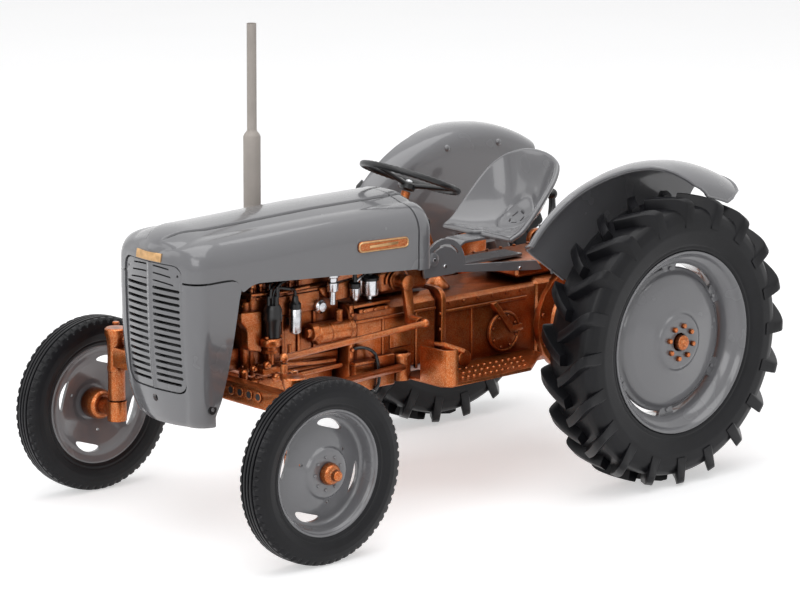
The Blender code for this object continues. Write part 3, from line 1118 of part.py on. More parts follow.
COLUMN_LEAN = Vector((math.sin(COLUMN_TILT), 0, -math.cos(COLUMN_TILT)))
STEERING_WHEEL_CENTRE = Vector((BONNET_REAR - STEERING_WHEEL_BACK, 0, BONNET_TOP + STEERING_WHEEL_RISE))
STEERING_WHEEL_HUB = STEERING_WHEEL_CENTRE + COLUMN_LEAN * STEERING_WHEEL_DISH


def cowl():
    """The dash behind the bonnet, the steering box under it and the column between them."""
    front = BONNET_REAR - GAP
    rings = [hood_section(x, BONNET_HALF_WIDTH - shy, BONNET_TOP - shy, COWL_BOTTOM)
             for x, shy in ((front, 0), (COWL_REAR + 0.0008, 0.0002), (COWL_REAR, 0.0009))]
    top = STEERING_WHEEL_HUB + COLUMN_LEAN * (STEERING_BOSS_LOW + GAP)
    box_low = BELL_TOP + BELL_FLANGE / 2 + GAP
    foot = top + COLUMN_LEAN * ((top.z - box_low - 0.0020) / math.cos(COLUMN_TILT))
    passage = rod(foot, top, COLUMN_RADIUS + GAP, sides=12)
    node("cowl", cut(lofted(rings), passage), "grey_enamel")
    box_rear = DROP_ARM_X + 0.0055 - STEERING_BOX_LENGTH
    box = block((box_rear, box_rear + STEERING_BOX_LENGTH), (-STEERING_BOX_HALF_WIDTH, STEERING_BOX_HALF_WIDTH),
                (box_low, COWL_BOTTOM - GAP), 0.0010)
    column = rod(foot, top, COLUMN_RADIUS, sides=12)
    shafts = [rod(sided(side, DROP_ARM_X, STEERING_BOX_HALF_WIDTH - 0.0010, DROP_ARM_TOP_Z),
                  sided(side, DROP_ARM_X, DROP_ARM_Y - GAP, DROP_ARM_TOP_Z), 0.0015) for _, side in SIDES]
    bosses = [rod(sided(side, DROP_ARM_X, STEERING_BOX_HALF_WIDTH - 0.0017, DROP_ARM_TOP_Z),
                  sided(side, DROP_ARM_X, STEERING_BOX_HALF_WIDTH + 0.0010, DROP_ARM_TOP_Z), 0.0026, sides=18) for _, side in SIDES]
    node("steering_box", fused(box, column, *shafts, *bosses), "bronze_enamel")


# Driver's place

def steering_wheel():
    rim_centre = STEERING_WHEEL_CENTRE
    hub = STEERING_WHEEL_HUB
    lean = COLUMN_LEAN
    carrier = body("steering_wheel", tuple(rim_centre))
    turn = (-lean).to_track_quat("Z", "Y").to_matrix()
    steps, sides = 28, 6
    bm = bmesh.new()
    rows = []
    for i in range(steps):
        angle = 2 * math.pi * i / steps
        out = turn @ Vector((math.cos(angle), math.sin(angle), 0))
        rows.append([bm.verts.new(rim_centre + out * STEERING_WHEEL_RADIUS
                                  + STEERING_WHEEL_GRIP * (math.cos(2 * math.pi * k / sides) * out
                                                           - math.sin(2 * math.pi * k / sides) * lean))
                     for k in range(sides)])
    for i in range(steps):
        near, far = rows[i], rows[(i + 1) % steps]
        for k in range(sides):
            bm.faces.new((near[k], near[(k + 1) % sides], far[(k + 1) % sides], far[k]))
    rim = from_bmesh(bm)
    spokes = [rod(hub, rim_centre + turn @ Vector((STEERING_WHEEL_RADIUS * math.cos(angle),
                                                   STEERING_WHEEL_RADIUS * math.sin(angle), 0)), 0.0006, sides=8)
              for angle in (math.radians(90), math.radians(210), math.radians(330))]
    boss = rod(hub + lean * STEERING_BOSS_LOW, hub - lean * 0.0010, 0.0020)
    node("steering_wheel_rim", fused(rim, boss, *spokes), "black_plastic", carrier)


def seat():
    """A pressed pan, its rim rising from the front corners to the high back, on a curled leaf spring."""
    floor_z = LIFT_COVER_TOP + SEAT_RISE
    stations = (
        # floor: share of length and of height; rim: share of length, of height and of half width
        (0.00, 0.00, 0.00, 0.00, 0.96),
        (0.22, -0.03, 0.20, 0.12, 1.00),
        (0.46, -0.01, 0.48, 0.42, 1.00),
        (0.70, 0.08, 0.74, 0.70, 0.94),
        (0.85, 0.28, 0.90, 0.86, 0.78),
        (0.94, 0.56, 0.97, 0.94, 0.54),
        (0.98, 0.82, 0.99, 0.985, 0.30),
        (1.00, 0.95, 1.00, 1.00, 0.10),
    )
    rows = []
    for floor_x, floor_rise, rim_x, rim_rise, wide in stations:
        row = []
        for i in range(-6, 7):
            share = i / 6
            climb = abs(share) ** 3
            x = SEAT_FRONT - SEAT_LENGTH * (floor_x + (rim_x - floor_x) * climb)
            z = floor_z + SEAT_HEIGHT * (floor_rise + (rim_rise - floor_rise) * climb)
            row.append((x, SEAT_HALF_WIDTH * wide * share, z))
        rows.append(row)
    pan = shell(rows, SHEET)
    low = LIFT_COVER_TOP + GAP
    high = floor_z - SHEET * 0.5
    middle = (low + high) / 2
    curl = (high - low) / 2
    thin = SPRING_THICKNESS
    ahead = SEAT_FRONT + 0.0068
    back = SEAT_FRONT - SEAT_LENGTH * 0.35
    outside = [(back, high)] + arc((ahead, middle), curl, 90, -90, 8) + [(0.0120, low)]
    inside = [(0.0120, low + thin)] + arc((ahead, middle), curl - thin, -90, 90, 8) + [(back, high - thin)]
    leaf = extruded(outside + inside, -SPRING_HALF_WIDTH, SPRING_HALF_WIDTH)
    node("seat_pan", fused(pan, leaf), "grey_enamel")


def controls():
    """The gear lever on the gearbox, and the lift's quadrant plate with its long rod on the left."""
    base = TRANSMISSION_TOP + GAP
    turret = rod((GEAR_LEVER_X, 0, base), (GEAR_LEVER_X, 0, base + 0.0030), 0.0034, 0.0018)
    lever = tube([(GEAR_LEVER_X, 0, base + 0.0020), (GEAR_LEVER_X + 0.0010, 0, base + 0.0090),
                  (GEAR_LEVER_X + 0.0030, -0.0010, base + 0.0165)], GEAR_LEVER_RADIUS)
    knob = ball((GEAR_LEVER_X + 0.0031, -0.0010, base + 0.0170), KNOB_RADIUS)
    node("gear_lever", fused(turret, lever, knob), "black_plastic")
    near, far = QUADRANT_Y, QUADRANT_Y + SHEET
    centre = (COWL_REAR - 0.0095, COWL_BOTTOM - 0.0016)
    sector = arc(centre, QUADRANT_RADIUS, -20, 190, 12) + [(centre[0] - 0.0030, centre[1] - 0.0024)]
    plate = extruded(sector, near, far)
    disc = rod((centre[0] + 0.0042, near, centre[1] + 0.0022), (centre[0] + 0.0042, far + 0.0006, centre[1] + 0.0022), 0.0018)
    bar = extruded([(centre[0] + 0.0010, centre[1] - 0.0016), (centre[0] + 0.0010, centre[1] + 0.0002),
                    (0.0140, LIFT_COVER_TOP + 0.0006), (0.0120, LIFT_COVER_TOP - 0.0020), (0.0140, LIFT_COVER_TOP - 0.0020)],
                   near, far)
    node("quadrant_plate", fused(plate, disc, bar), "grey_enamel")


def mudguard(label, side):
    """A domed guard over the tyre with a flat inner wall, from in front of the tyre to behind it."""
    steps = 12
    rows = []
    width = GUARD_OUTER_Y - GUARD_INNER_Y
    crown = GUARD_SHOULDER_RADIUS
    for i in range(steps + 1):
        angle = GUARD_FRONT_ANGLE + (GUARD_REAR_ANGLE - GUARD_FRONT_ANGLE) * i / steps
        low = GUARD_BOTTOM_RISE / math.sin(angle)
        section = [(0, low), (0, crown - 0.0050), (width * 0.04, crown - 0.0025), (width * 0.16, crown - 0.0007),
                   (width * 0.34, crown), (width * 0.61, crown - 0.0006), (width * 0.89, crown - 0.0025),
                   (width, GUARD_EDGE_RADIUS)]
        rows.append([sided(side, radius * math.cos(angle), GUARD_INNER_Y + across, AXLE_Z + radius * math.sin(angle))
                     for across, radius in section])
    node("mudguard_" + label, shell(rows, GUARD_SHEET if side > 0 else -GUARD_SHEET), "grey_enamel")


def exhaust():
    """A pipe from the manifold, out past the bonnet and straight up through a silencer."""
    foot = BLOCK_TOP - 0.0012
    face = -ENGINE_HALF_WIDTH
    elbow = tube([(STACK_X, face - 0.0030, foot), (STACK_X, STACK_Y + 0.0030, foot + 0.0010),
                  (STACK_X, STACK_Y + 0.0008, foot + 0.0032), (STACK_X, STACK_Y, foot + 0.0080),
                  (STACK_X, STACK_Y, foot + 0.0160)], SILENCER_RADIUS * 0.8, 2)
    silencer = rod((STACK_X, STACK_Y, foot + 0.0140), (STACK_X, STACK_Y, SILENCER_TOP), SILENCER_RADIUS)
    neck = rod((STACK_X, STACK_Y, SILENCER_TOP - 0.0002), (STACK_X, STACK_Y, SILENCER_TOP + 0.0012),
               SILENCER_RADIUS, PIPE_RADIUS)
    pipe = rod((STACK_X, STACK_Y, SILENCER_TOP), (STACK_X, STACK_Y, PIPE_TOP), PIPE_RADIUS, sides=12)
    node("exhaust_stack", fused(elbow, silencer, neck, pipe), "stack_plastic")
    log = block((STACK_X - 0.0020, STACK_X + 0.0190), (face - 0.0036, face - GAP - 0.0009), (foot - 0.0030, foot + 0.0006),
                0.0006)
    notch = block((STACK_X - 0.0030, STACK_X + 0.0030), (face - 0.0045, face - 0.0027), (foot - 0.0040, foot + 0.0040))
    node("exhaust_manifold", cut(log, notch), "bronze_enamel")


def build():
    power_train()
    engine()
    fan()
    engine_fittings()
    front_axle()
    for label, side in SIDES:
        carrier, front = spindle(label, side)
        drag_link(label, side, carrier, front)
        drop_arm(label, side)
        front_wheel(label, side, carrier)
        rear_wheel(label, side)
        mudguard(label, side)
    rear_lift()
    bonnet()
    nose_panel()
    grille()
    inside_bonnet()
    cowl()
    steering_wheel()
    seat()
    controls()
    exhaust()


build()
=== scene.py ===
"""Looks of a small-scale farm tractor in grey and bronze enamel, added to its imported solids.

Lengths in the shape functions are in millimetres in the tractor's own axes: X forward from the
rear axle, Y to its left and Z up from the ground. placed() turns them into metres in the part's frame.
"""

import json
import math

import bmesh
import bpy
import numpy as np
from mathutils import Matrix, Vector

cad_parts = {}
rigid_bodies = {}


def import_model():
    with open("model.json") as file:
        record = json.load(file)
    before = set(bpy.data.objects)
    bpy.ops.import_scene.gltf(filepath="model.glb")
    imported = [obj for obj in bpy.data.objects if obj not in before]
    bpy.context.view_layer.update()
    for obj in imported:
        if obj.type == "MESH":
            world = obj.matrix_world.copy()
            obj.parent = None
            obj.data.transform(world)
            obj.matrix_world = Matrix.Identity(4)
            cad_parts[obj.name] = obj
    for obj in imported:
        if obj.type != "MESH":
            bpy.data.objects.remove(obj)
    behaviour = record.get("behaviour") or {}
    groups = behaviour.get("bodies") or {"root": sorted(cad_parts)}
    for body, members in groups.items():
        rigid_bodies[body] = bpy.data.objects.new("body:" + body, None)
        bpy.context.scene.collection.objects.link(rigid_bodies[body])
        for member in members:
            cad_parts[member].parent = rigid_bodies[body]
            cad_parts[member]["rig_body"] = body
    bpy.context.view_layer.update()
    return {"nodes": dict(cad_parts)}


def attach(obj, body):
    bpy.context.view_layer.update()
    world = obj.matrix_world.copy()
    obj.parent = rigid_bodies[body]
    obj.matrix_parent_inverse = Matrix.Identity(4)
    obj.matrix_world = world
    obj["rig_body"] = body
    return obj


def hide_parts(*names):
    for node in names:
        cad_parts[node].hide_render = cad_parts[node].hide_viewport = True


bl_info = {"name": "Farm Tractor Looks", "version": (1, 0, 0), "blender": (4, 5, 0),
           "location": "View3D > Sidebar > Tractor",
           "description": "Builds the tractor's tyres, sheet metal, fittings, finishes and studio stage",
           "category": "Object"}

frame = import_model()

MM = 0.001
UP = (0, 0, 1)
SIDES = (("left", 1), ("right", -1))
PAINTS = {}
MERGE = 0.002 * MM      # points nearer than this become one

# Main sizes in millimetres

MIDDLE_X = 43.4         # the part's middle ahead of its rear axle
WHEELBASE = 114.3
AXLE_Z = 37.2           # height of the rear axle
FRONT_WHEEL = (WHEELBASE, 44.3, 22.2)
REAR_WHEEL = (0.0, 43.4, AXLE_Z)
KINGPIN_Y = 34.7
BEAM_Z = 36.4           # height of the front beam's middle
PLATE_X = 25.4          # the gearbox's round inspection plate
GUARD_Y = 30.0          # the mudguards' inner walls
HOOD_REAR = 60.0
HOOD_TOP = 76.6
HOOD_HALF = 17.0
HOOD_CROWN = 1.7        # fall of a bonnet section from its middle to its shoulders
HOOD_TIP = 130.5
NOSE_X = 129.0          # where the bonnet's front corners end
NOSE_BULGE = 1.5
NOSE_CORNER = 4.6
GRILLE_HALF = 11.2


# Shapes as arrays

def placed(points):
    """Millimetres in the tractor's axes to metres in the part's frame."""
    return (np.asarray(points, float) - (MIDDLE_X, 0, 0)) * MM


def at(x, y, z):
    """Places from their coordinates, each of them one number or a row of numbers."""
    return np.column_stack(np.broadcast_arrays(*np.atleast_1d(x, y, z)))


def span(side, low, high):
    """Two distances out from the tractor's middle on one side, the smaller coordinate first."""
    return tuple(sorted((side * low, side * high)))


def spun(outline, turn):
    """A flat outline turned about the origin."""
    cos, sin = math.cos(turn), math.sin(turn)
    return np.asarray(outline) @ [[cos, sin], [-sin, cos]]


def grid(points, close_u=False, close_v=False, caps=False):
    """Quads over a (U, V, 3) array of points; caps closes the first and last rows of a closed V."""
    rows, cols = points.shape[:2]
    index = np.arange(rows * cols).reshape(rows, cols)
    if close_u:
        index = np.vstack([index, index[:1]])
    if close_v:
        index = np.hstack([index, index[:, :1]])
    quads = np.stack([index[:-1, :-1], index[:-1, 1:], index[1:, 1:], index[1:, :-1]], -1).reshape(-1, 4)
    faces = [quads]
    if caps:
        first = np.arange(cols)
        faces += [first[::-1][None], (first + (rows - 1) * cols)[None]]
    return points.reshape(-1, 3), faces


def joined(shapes):
    """Several (points, faces) shapes as one."""
    points, faces, start = [], [], 0
    for verts, parts in shapes:
        points.append(verts)
        faces += [part + start for part in parts]
        start += len(verts)
    return np.vstack(points), faces


def repeated(shape, places):
    """A shape copied to each of the (N, 3) places."""
    verts, parts = shape
    places = np.asarray(places, float).reshape(-1, 3)
    count = len(places)
    points = (verts[None] + places[:, None]).reshape(-1, 3)
    steps = np.arange(count)[:, None, None] * len(verts)
    return points, [(part[None] + steps).reshape(-1, part.shape[1]) for part in parts]


def softened(points, radius, closed=True, steps=4):
    """A polyline with each corner replaced by a short quadratic curve that starts radius before it."""
    corner = np.asarray(points, float)
    before = np.roll(corner, 1, 0)
    after = np.roll(corner, -1, 0)

    def towards(other):
        gap = other - corner
        length = np.maximum(np.linalg.norm(gap, axis=1, keepdims=True), 1e-9)
        return corner + gap * np.minimum(radius / length, 0.45)

    start, end = towards(before)[:, None], towards(after)[:, None]
    t = np.linspace(0, 1, steps)[None, :, None]
    curve = (1 - t) ** 2 * start + 2 * t * (1 - t) * corner[:, None] + t ** 2 * end
    if closed:
        return curve.reshape(-1, corner.shape[1])
    inner = curve[1:-1].reshape(-1, corner.shape[1])
    return np.vstack([corner[:1], inner, corner[-1:]])


def spline(points, count):
    """A smooth curve through the points, count samples, each stretch a cubic set by its neighbours."""
    knots = np.asarray(points, float)
    padded = np.vstack([2 * knots[:1] - knots[1:2], knots, 2 * knots[-1:] - knots[-2:-1]])
    t = np.linspace(0, len(knots) - 1, count)
    i = np.minimum(t.astype(int), len(knots) - 2)
    f = (t - i).reshape((-1,) + (1,) * (knots.ndim - 1))
    a, b, c, d = padded[i], padded[i + 1], padded[i + 2], padded[i + 3]
    return 0.5 * (2 * b + (c - a) * f + (2 * a - 5 * b + 4 * c - d) * f ** 2 + (3 * b - a - 3 * c + d) * f ** 3)


def turned(profile, centre, side=1, steps=96, closed=True):
    """A profile of (radius, offset) pairs turned about the Y axis through centre."""
    profile = np.asarray(profile, float)
    angle = np.linspace(0, 2 * math.pi, steps, endpoint=False)[:, None]
    r, offset = profile[None, :, 0], profile[None, :, 1]
    points = np.stack([centre[0] + r * np.cos(angle), centre[1] + side * offset + 0 * angle,
                       centre[2] + r * np.sin(angle)], -1)
    return grid(points, close_u=True, close_v=closed)


def lathe(profile, start, axis, steps=48):
    """A profile of (radius, distance along the axis) pairs turned about any axis from start, closed at its ends."""
    along = np.asarray(axis, float) / np.linalg.norm(axis)
    helper = np.array([0, 0, 1.0]) if abs(along[2]) < 0.9 else np.array([1.0, 0, 0])
    across = np.cross(along, helper)
    across /= np.linalg.norm(across)
    third = np.cross(along, across)
    profile = np.asarray(profile, float)
    angle = np.linspace(0, 2 * math.pi, steps, endpoint=False)
    ring = np.cos(angle)[:, None] * across + np.sin(angle)[:, None] * third
    points = np.asarray(start, float) + profile[:, 1][:, None, None] * along + profile[:, 0][:, None, None] * ring[None]
    return grid(points, close_v=True, caps=True)


def swept(path, radius, sides=14, up=(0, 0, 1.0)):
    """A round tube along a path; radius is one number or one for each point."""
    path = np.asarray(path, float)
    along = np.gradient(path, axis=0)
    along /= np.linalg.norm(along, axis=1, keepdims=True)
    across = np.cross(along, np.asarray(up, float))
    across /= np.maximum(np.linalg.norm(across, axis=1, keepdims=True), 1e-9)
    third = np.cross(along, across)
    angle = np.linspace(0, 2 * math.pi, sides, endpoint=False)[None, :, None]
    size = np.broadcast_to(np.asarray(radius, float), (len(path),))[:, None, None]
    points = path[:, None] + size * (np.cos(angle) * across[:, None] + np.sin(angle) * third[:, None])
    return grid(points, close_v=True, caps=True)


def inset(outline, distance):
    """A closed flat outline moved inwards along its corner normals."""
    before = outline - np.roll(outline, 1, 0)
    after = np.roll(outline, -1, 0) - outline
    before /= np.maximum(np.linalg.norm(before, axis=1, keepdims=True), 1e-9)
    after /= np.maximum(np.linalg.norm(after, axis=1, keepdims=True), 1e-9)
    normal = np.stack([-(before + after)[:, 1], (before + after)[:, 0]], -1)
    normal /= np.maximum(np.linalg.norm(normal, axis=1, keepdims=True), 1e-9)
    turn = np.sum(outline[:, 0] * np.roll(outline[:, 1], -1) - np.roll(outline[:, 0], -1) * outline[:, 1])
    return outline + normal * distance * np.sign(turn)


def plate(outline, low, high, axis="Y", edge=0.15):
    """A flat outline made thick from low to high along an axis, its rims chamfered by edge."""
    outline = np.asarray(outline, float)
    small = inset(outline, edge)
    levels = ((low, small), (low + edge, outline), (high - edge, outline), (high, small))
    order = {"X": (2, 0, 1), "Y": (0, 2, 1), "Z": (0, 1, 2)}[axis]
    rings = [np.column_stack([flat, np.full(len(flat), level)])[:, order] for level, flat in levels]
    return grid(np.stack(rings), close_v=True, caps=True)


def ring_of(count, radius, phase=0.0):
    """Turns round a circle as (cos, sin) pairs times the radius."""
    angle = phase + 2 * math.pi * np.arange(count) / count
    return np.column_stack([np.cos(angle), np.sin(angle)]) * radius


def ball(radius, lift=0.0, steps=10, pole=0.03):
    """The profile of a ball for lathe(), its middle raised by lift and its poles left open by a tiny ring."""
    turn = np.linspace(0, math.pi, steps)
    return np.column_stack([np.maximum(np.sin(turn) * radius, pole), lift - radius * np.cos(turn)])


def heads(places, axis, radius=0.55, height=0.45, sides=6):
    """Chamfered bolt heads standing on the given places along an axis."""
    profile = [(radius * 0.1, 0), (radius, 0), (radius, height * 0.75), (radius * 0.82, height),
               (radius * 0.1, height)]
    return repeated(lathe(profile, (0, 0, 0), axis, sides), places)


def box(x, y, z, edge=0.2):
    """A block with chamfered edges."""
    outline = softened([(x[0], y[0]), (x[1], y[0]), (x[1], y[1]), (x[0], y[1])], edge, steps=3)
    return plate(outline, z[0], z[1], "Z", edge * 0.7)


# Pieces

def settle(obj):
    """Puts what the modifiers make into the piece's own mesh."""
    bpy.context.view_layer.update()
    made = bpy.data.meshes.new_from_object(obj.evaluated_get(bpy.context.evaluated_depsgraph_get()))
    old = obj.data
    obj.modifiers.clear()
    obj.data = made
    bpy.data.meshes.remove(old)


def bare(name, shape):
    """A plain object from a (points, faces) shape, welded."""
    verts, parts = shape
    verts = placed(verts)
    loops = np.concatenate([part.ravel() for part in parts])
    sizes = np.concatenate([np.full(len(part), part.shape[1]) for part in parts])
    mesh = bpy.data.meshes.new(name)
    mesh.vertices.add(len(verts))
    mesh.vertices.foreach_set("co", verts.ravel())
    mesh.loops.add(len(loops))
    mesh.loops.foreach_set("vertex_index", loops.astype(np.int32))
    mesh.polygons.add(len(sizes))
    mesh.polygons.foreach_set("loop_start", np.concatenate([[0], np.cumsum(sizes)[:-1]]).astype(np.int32))
    mesh.update(calc_edges=True)
    mesh.validate()
    obj = bpy.data.objects.new(name, mesh)
    bpy.context.scene.collection.objects.link(obj)
    weld(obj)
    return obj


def weld(obj, outward=True, flatten=False):
    """Merges doubled points, and turns closed shapes' faces outward."""
    bm = bmesh.new()
    bm.from_mesh(obj.data)
    bmesh.ops.remove_doubles(bm, verts=bm.verts, dist=MERGE)
    if flatten:
        bmesh.ops.dissolve_limit(bm, angle_limit=math.radians(0.6), verts=bm.verts, edges=bm.edges)
    if outward:
        bmesh.ops.recalc_face_normals(bm, faces=bm.faces)
    bm.to_mesh(obj.data)
    bm.free()


def dress(obj, paint, body, replaces=(), sharp=34.0):
    """Gives a piece its finish, smooth faces with crisp edges, and the body it rides on."""
    mesh = obj.data
    mesh.materials.clear()
    mesh.materials.append(PAINTS[paint])
    mesh.shade_smooth()
    mesh.set_sharp_from_angle(angle=math.radians(sharp))
    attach(obj, body)
    if replaces:
        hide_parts(*replaces)
    return obj


def piece(name, shapes, paint, body="chassis", replaces=(), thickness=0.0, cutters=(), sharp=34.0):
    """One finished piece from shapes, optionally made thick and cut."""
    obj = bare(name, joined(shapes))
    if thickness:
        wall = obj.modifiers.new("wall", "SOLIDIFY")
        wall.thickness = abs(thickness) * MM
        wall.offset = -1 if thickness > 0 else 1
        settle(obj)
        weld(obj)
    if cutters:
        tool = bare(name + "_tool", joined(cutters))
        cut = obj.modifiers.new("cut", "BOOLEAN")
        cut.operation = "DIFFERENCE"
        cut.solver = "EXACT"
        cut.object = tool
        settle(obj)
        bpy.data.objects.remove(tool)
        weld(obj)
    return dress(obj, paint, body, replaces, sharp)


def cast_copy(node, paint, bevel=0.18):
    """A solid whose shape is right, copied with its edges rounded as a casting's are."""
    source = frame["nodes"][node]
    obj = bpy.data.objects.new("cast_" + node, source.data.copy())
    bpy.context.scene.collection.objects.link(obj)
    weld(obj, outward=False, flatten=True)
    rounding = obj.modifiers.new("rounding", "BEVEL")
    rounding.width = bevel * MM
    rounding.segments = 2
    rounding.limit_method = "ANGLE"
    rounding.angle_limit = math.radians(32)
    settle(obj)
    return dress(obj, paint, source["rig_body"], (node,), 40.0)


# Finishes

def linear(code):
    """An sRGB hex colour as linear red, green, blue and alpha."""
    parts = np.array([int(code[i:i + 2], 16) for i in (1, 3, 5)]) / 255
    return tuple(np.where(parts <= 0.04045, parts / 12.92, ((parts + 0.055) / 1.055) ** 2.4)) + (1.0,)


def add_node(tree, kind, settings=None, inputs=None):
    """Adds a node; inputs maps a socket to a value, or to a (node, output) pair that is linked to it."""
    node = tree.nodes.new(kind)
    for key, value in (settings or {}).items():
        setattr(node, key, value)
    for key, value in (inputs or {}).items():
        if isinstance(value, tuple) and isinstance(value[0], bpy.types.Node):
            tree.links.new(value[0].outputs[value[1]], node.inputs[key])
        else:
            node.inputs[key].default_value = value
    return node


def per_mm(size):
    """Pattern scale for a feature of this size in millimetres."""
    return 1 / (size * MM)


def chosen(name):
    """The colour that the panel gives for a finish."""
    return tuple(getattr(bpy.context.scene.tractor_colours, name))


def paint_tree(name):
    """An empty finish with its node tree and the coordinates that its patterns hang on."""
    paint = bpy.data.materials.new(name)
    paint.use_nodes = True
    tree = paint.node_tree
    tree.nodes.clear()
    where = (add_node(tree, "ShaderNodeTexCoord"), "Object")
    return paint, tree, where


def finish_tree(tree, settings):
    """Ends a finish with its surface shader."""
    shader = add_node(tree, "ShaderNodeBsdfPrincipled", inputs=settings)
    add_node(tree, "ShaderNodeOutputMaterial", inputs={"Surface": (shader, "BSDF")})


def shade(colour, factor):
    """A colour made darker or lighter."""
    return tuple(min(1.0, part * factor) for part in colour[:3]) + (1.0,)


def two_tone(tree, where, size, colour, spread):
    """Colour a little darker and lighter than the given one by a cloudy pattern of this size."""
    noise = add_node(tree, "ShaderNodeTexNoise", inputs={"Vector": where, "Scale": per_mm(size), "Detail": 3.0})
    ramp = add_node(tree, "ShaderNodeValToRGB", inputs={"Fac": (noise, "Fac")})
    for stop, position, factor in zip(ramp.color_ramp.elements, (0.35, 0.65), (1 - spread, 1 + spread)):
        stop.position = position
        stop.color = shade(colour, factor)
    return ramp, "Color"


def grain(tree, where, size, strength, depth, detail=2.0, normal=None):
    """A bump from a noise of this size in millimetres, depth millimetres high."""
    noise = add_node(tree, "ShaderNodeTexNoise", inputs={"Vector": where, "Scale": per_mm(size), "Detail": detail})
    inputs = {"Height": (noise, "Fac"), "Strength": strength, "Distance": depth * MM}
    if normal:
        inputs["Normal"] = normal
    return add_node(tree, "ShaderNodeBump", inputs=inputs), "Normal"


def plain_paint(name, size, colour, spread, settings, bumps):
    """A paint clouded at this size, with plain shader settings and bumps of (size, strength, depth, detail)."""
    paint, tree, where = paint_tree(name)
    colour = two_tone(tree, where, size, colour, spread)
    finish_tree(tree, {"Base Color": colour, **settings, "Normal": grain(tree, where, *bumps)})
    return paint


def grey_enamel():
    """Gloss enamel sprayed on die-cast metal: even mid grey with a faint ripple under a hard shine."""
    paint, tree, where = paint_tree("grey_gloss_enamel")
    colour = two_tone(tree, where, 22, chosen("enamel"), 0.015)
    worn = add_node(tree, "ShaderNodeTexNoise", inputs={"Vector": where, "Scale": per_mm(9.0), "Detail": 2.0})
    rough = add_node(tree, "ShaderNodeMapRange", inputs={"Value": (worn, "Fac"), "From Min": 0.3, "From Max": 0.75,
                                                         "To Min": 0.25, "To Max": 0.28})
    finish_tree(tree, {"Base Color": colour, "Roughness": (rough, "Result"), "Coat Weight": 0.8,
                       "Coat Roughness": 0.05, "Normal": grain(tree, where, 4.0, 0.05, 0.02)})
    return paint


def bronze_enamel():
    """Metallic bronze enamel: fine flakes in an orange-brown lacquer, with painted shade darkening it in recesses."""
    paint, tree, where = paint_tree("bronze_metallic_enamel")
    base = two_tone(tree, where, 3.2, chosen("bronze"), 0.2)
    # flakes drawn about three times coarser than real ones so that they show
    flake = add_node(tree, "ShaderNodeTexVoronoi", inputs={"Vector": where, "Scale": per_mm(0.22)})
    spark = add_node(tree, "ShaderNodeMapRange", inputs={"Value": (flake, "Distance"), "From Min": 0.0,
                                                         "From Max": 0.5, "To Min": 0.0, "To Max": 1.0})
    bright = add_node(tree, "ShaderNodeMix", {"data_type": "RGBA"},
                      {0: (spark, "Result"), 6: shade(chosen("gilt"), 1.3), 7: base})
    # painted shade: an ambient occlusion node darkens the colour towards a dark red-brown in recesses
    hidden = add_node(tree, "ShaderNodeAmbientOcclusion", {"samples": 6}, {"Distance": 5.0 * MM})
    recess_shade_share = add_node(tree, "ShaderNodeMapRange",
                    inputs={"Value": (hidden, "AO"), "From Min": 0.38, "From Max": 1.0, "To Min": 0.0, "To Max": 1.0})
    recess_painted_shade = add_node(tree, "ShaderNodeMix", {"data_type": "RGBA"},
                      {0: (recess_shade_share, "Result"), 6: shade(linear("#b04a12"), 0.2), 7: (bright, 2)})
    rough = add_node(tree, "ShaderNodeMapRange", inputs={"Value": (flake, "Distance"), "From Min": 0.0,
                                                         "From Max": 0.7, "To Min": 0.24, "To Max": 0.36})
    soft = add_node(tree, "ShaderNodeBevel", {"samples": 4}, {"Radius": 0.3 * MM})
    finish_tree(tree, {"Base Color": (recess_painted_shade, 2), "Metallic": 0.85, "Roughness": (rough, "Result"),
                       "Coat Weight": 0.3, "Coat Roughness": 0.12,
                       "Normal": grain(tree, where, 0.8, 0.14, 0.04, normal=(soft, "Normal"))})
    return paint


def tyre_rubber():
    """Moulded black rubber with a soft sheen, faintly speckled, a little paler where it has been handled."""
    return plain_paint("moulded_tyre_rubber", 6.0, chosen("rubber"), 0.2,
                       {"Roughness": 0.36, "Specular IOR Level": 0.24}, (0.9, 0.12, 0.04, 3.0))


def black_plastic():
    """Moulded black ABS: deep black, a soft shine and a fine moulded grain."""
    return plain_paint("moulded_black_plastic", 4.0, chosen("black"), 0.2, {"Roughness": 0.33}, (0.6, 0.12, 0.03))


def black_wire():
    """Black vinyl over wire: smoother and shinier than the moulded plastic."""
    return plain_paint("black_vinyl_lead", 2.0, shade(chosen("black"), 0.8), 0.2, {"Roughness": 0.25},
                       (0.8, 0.08, 0.02))


def stack_plastic():
    """Warm pale grey plastic: a dull moulded tube with faint clouding."""
    return plain_paint("pale_grey_plastic", 8.0, chosen("stack"), 0.06, {"Roughness": 0.5}, (0.7, 0.12, 0.03))


def bright_metal():
    """Bright plated metal: nearly a mirror, softened by fine polishing marks."""
    paint, tree, where = paint_tree("bright_plated_metal")
    colour = two_tone(tree, where, 1.5, chosen("plating"), 0.12)
    worn = add_node(tree, "ShaderNodeTexNoise", inputs={"Vector": where, "Scale": per_mm(0.7), "Detail": 3.0})
    rough = add_node(tree, "ShaderNodeMapRange", inputs={"Value": (worn, "Fac"), "To Min": 0.14, "To Max": 0.34})
    finish_tree(tree, {"Base Color": colour, "Metallic": 1.0, "Roughness": (rough, "Result"),
                       "Normal": grain(tree, where, 0.4, 0.08, 0.02)})
    return paint


def gilt():
    """Gilt foil on a bare badge plate: warm yellow metal with soft brushing."""
    return plain_paint("gilt_plate", 1.2, chosen("gilt"), 0.15, {"Metallic": 0.8, "Roughness": 0.32},
                       (0.5, 0.15, 0.03))


def make_paints():
    """Every paint, kept under its function's name."""
    makers = (grey_enamel, bronze_enamel, tyre_rubber, black_plastic, black_wire, stack_plastic, bright_metal, gilt)
    for make in makers:
        PAINTS[make.__name__] = make()


# Wheels

def both_walls(half):
    """A profile given for one side of the middle, mirrored to the other side."""
    half = np.asarray(half, float)
    return np.vstack([half, half[::-1] * (1, -1)])


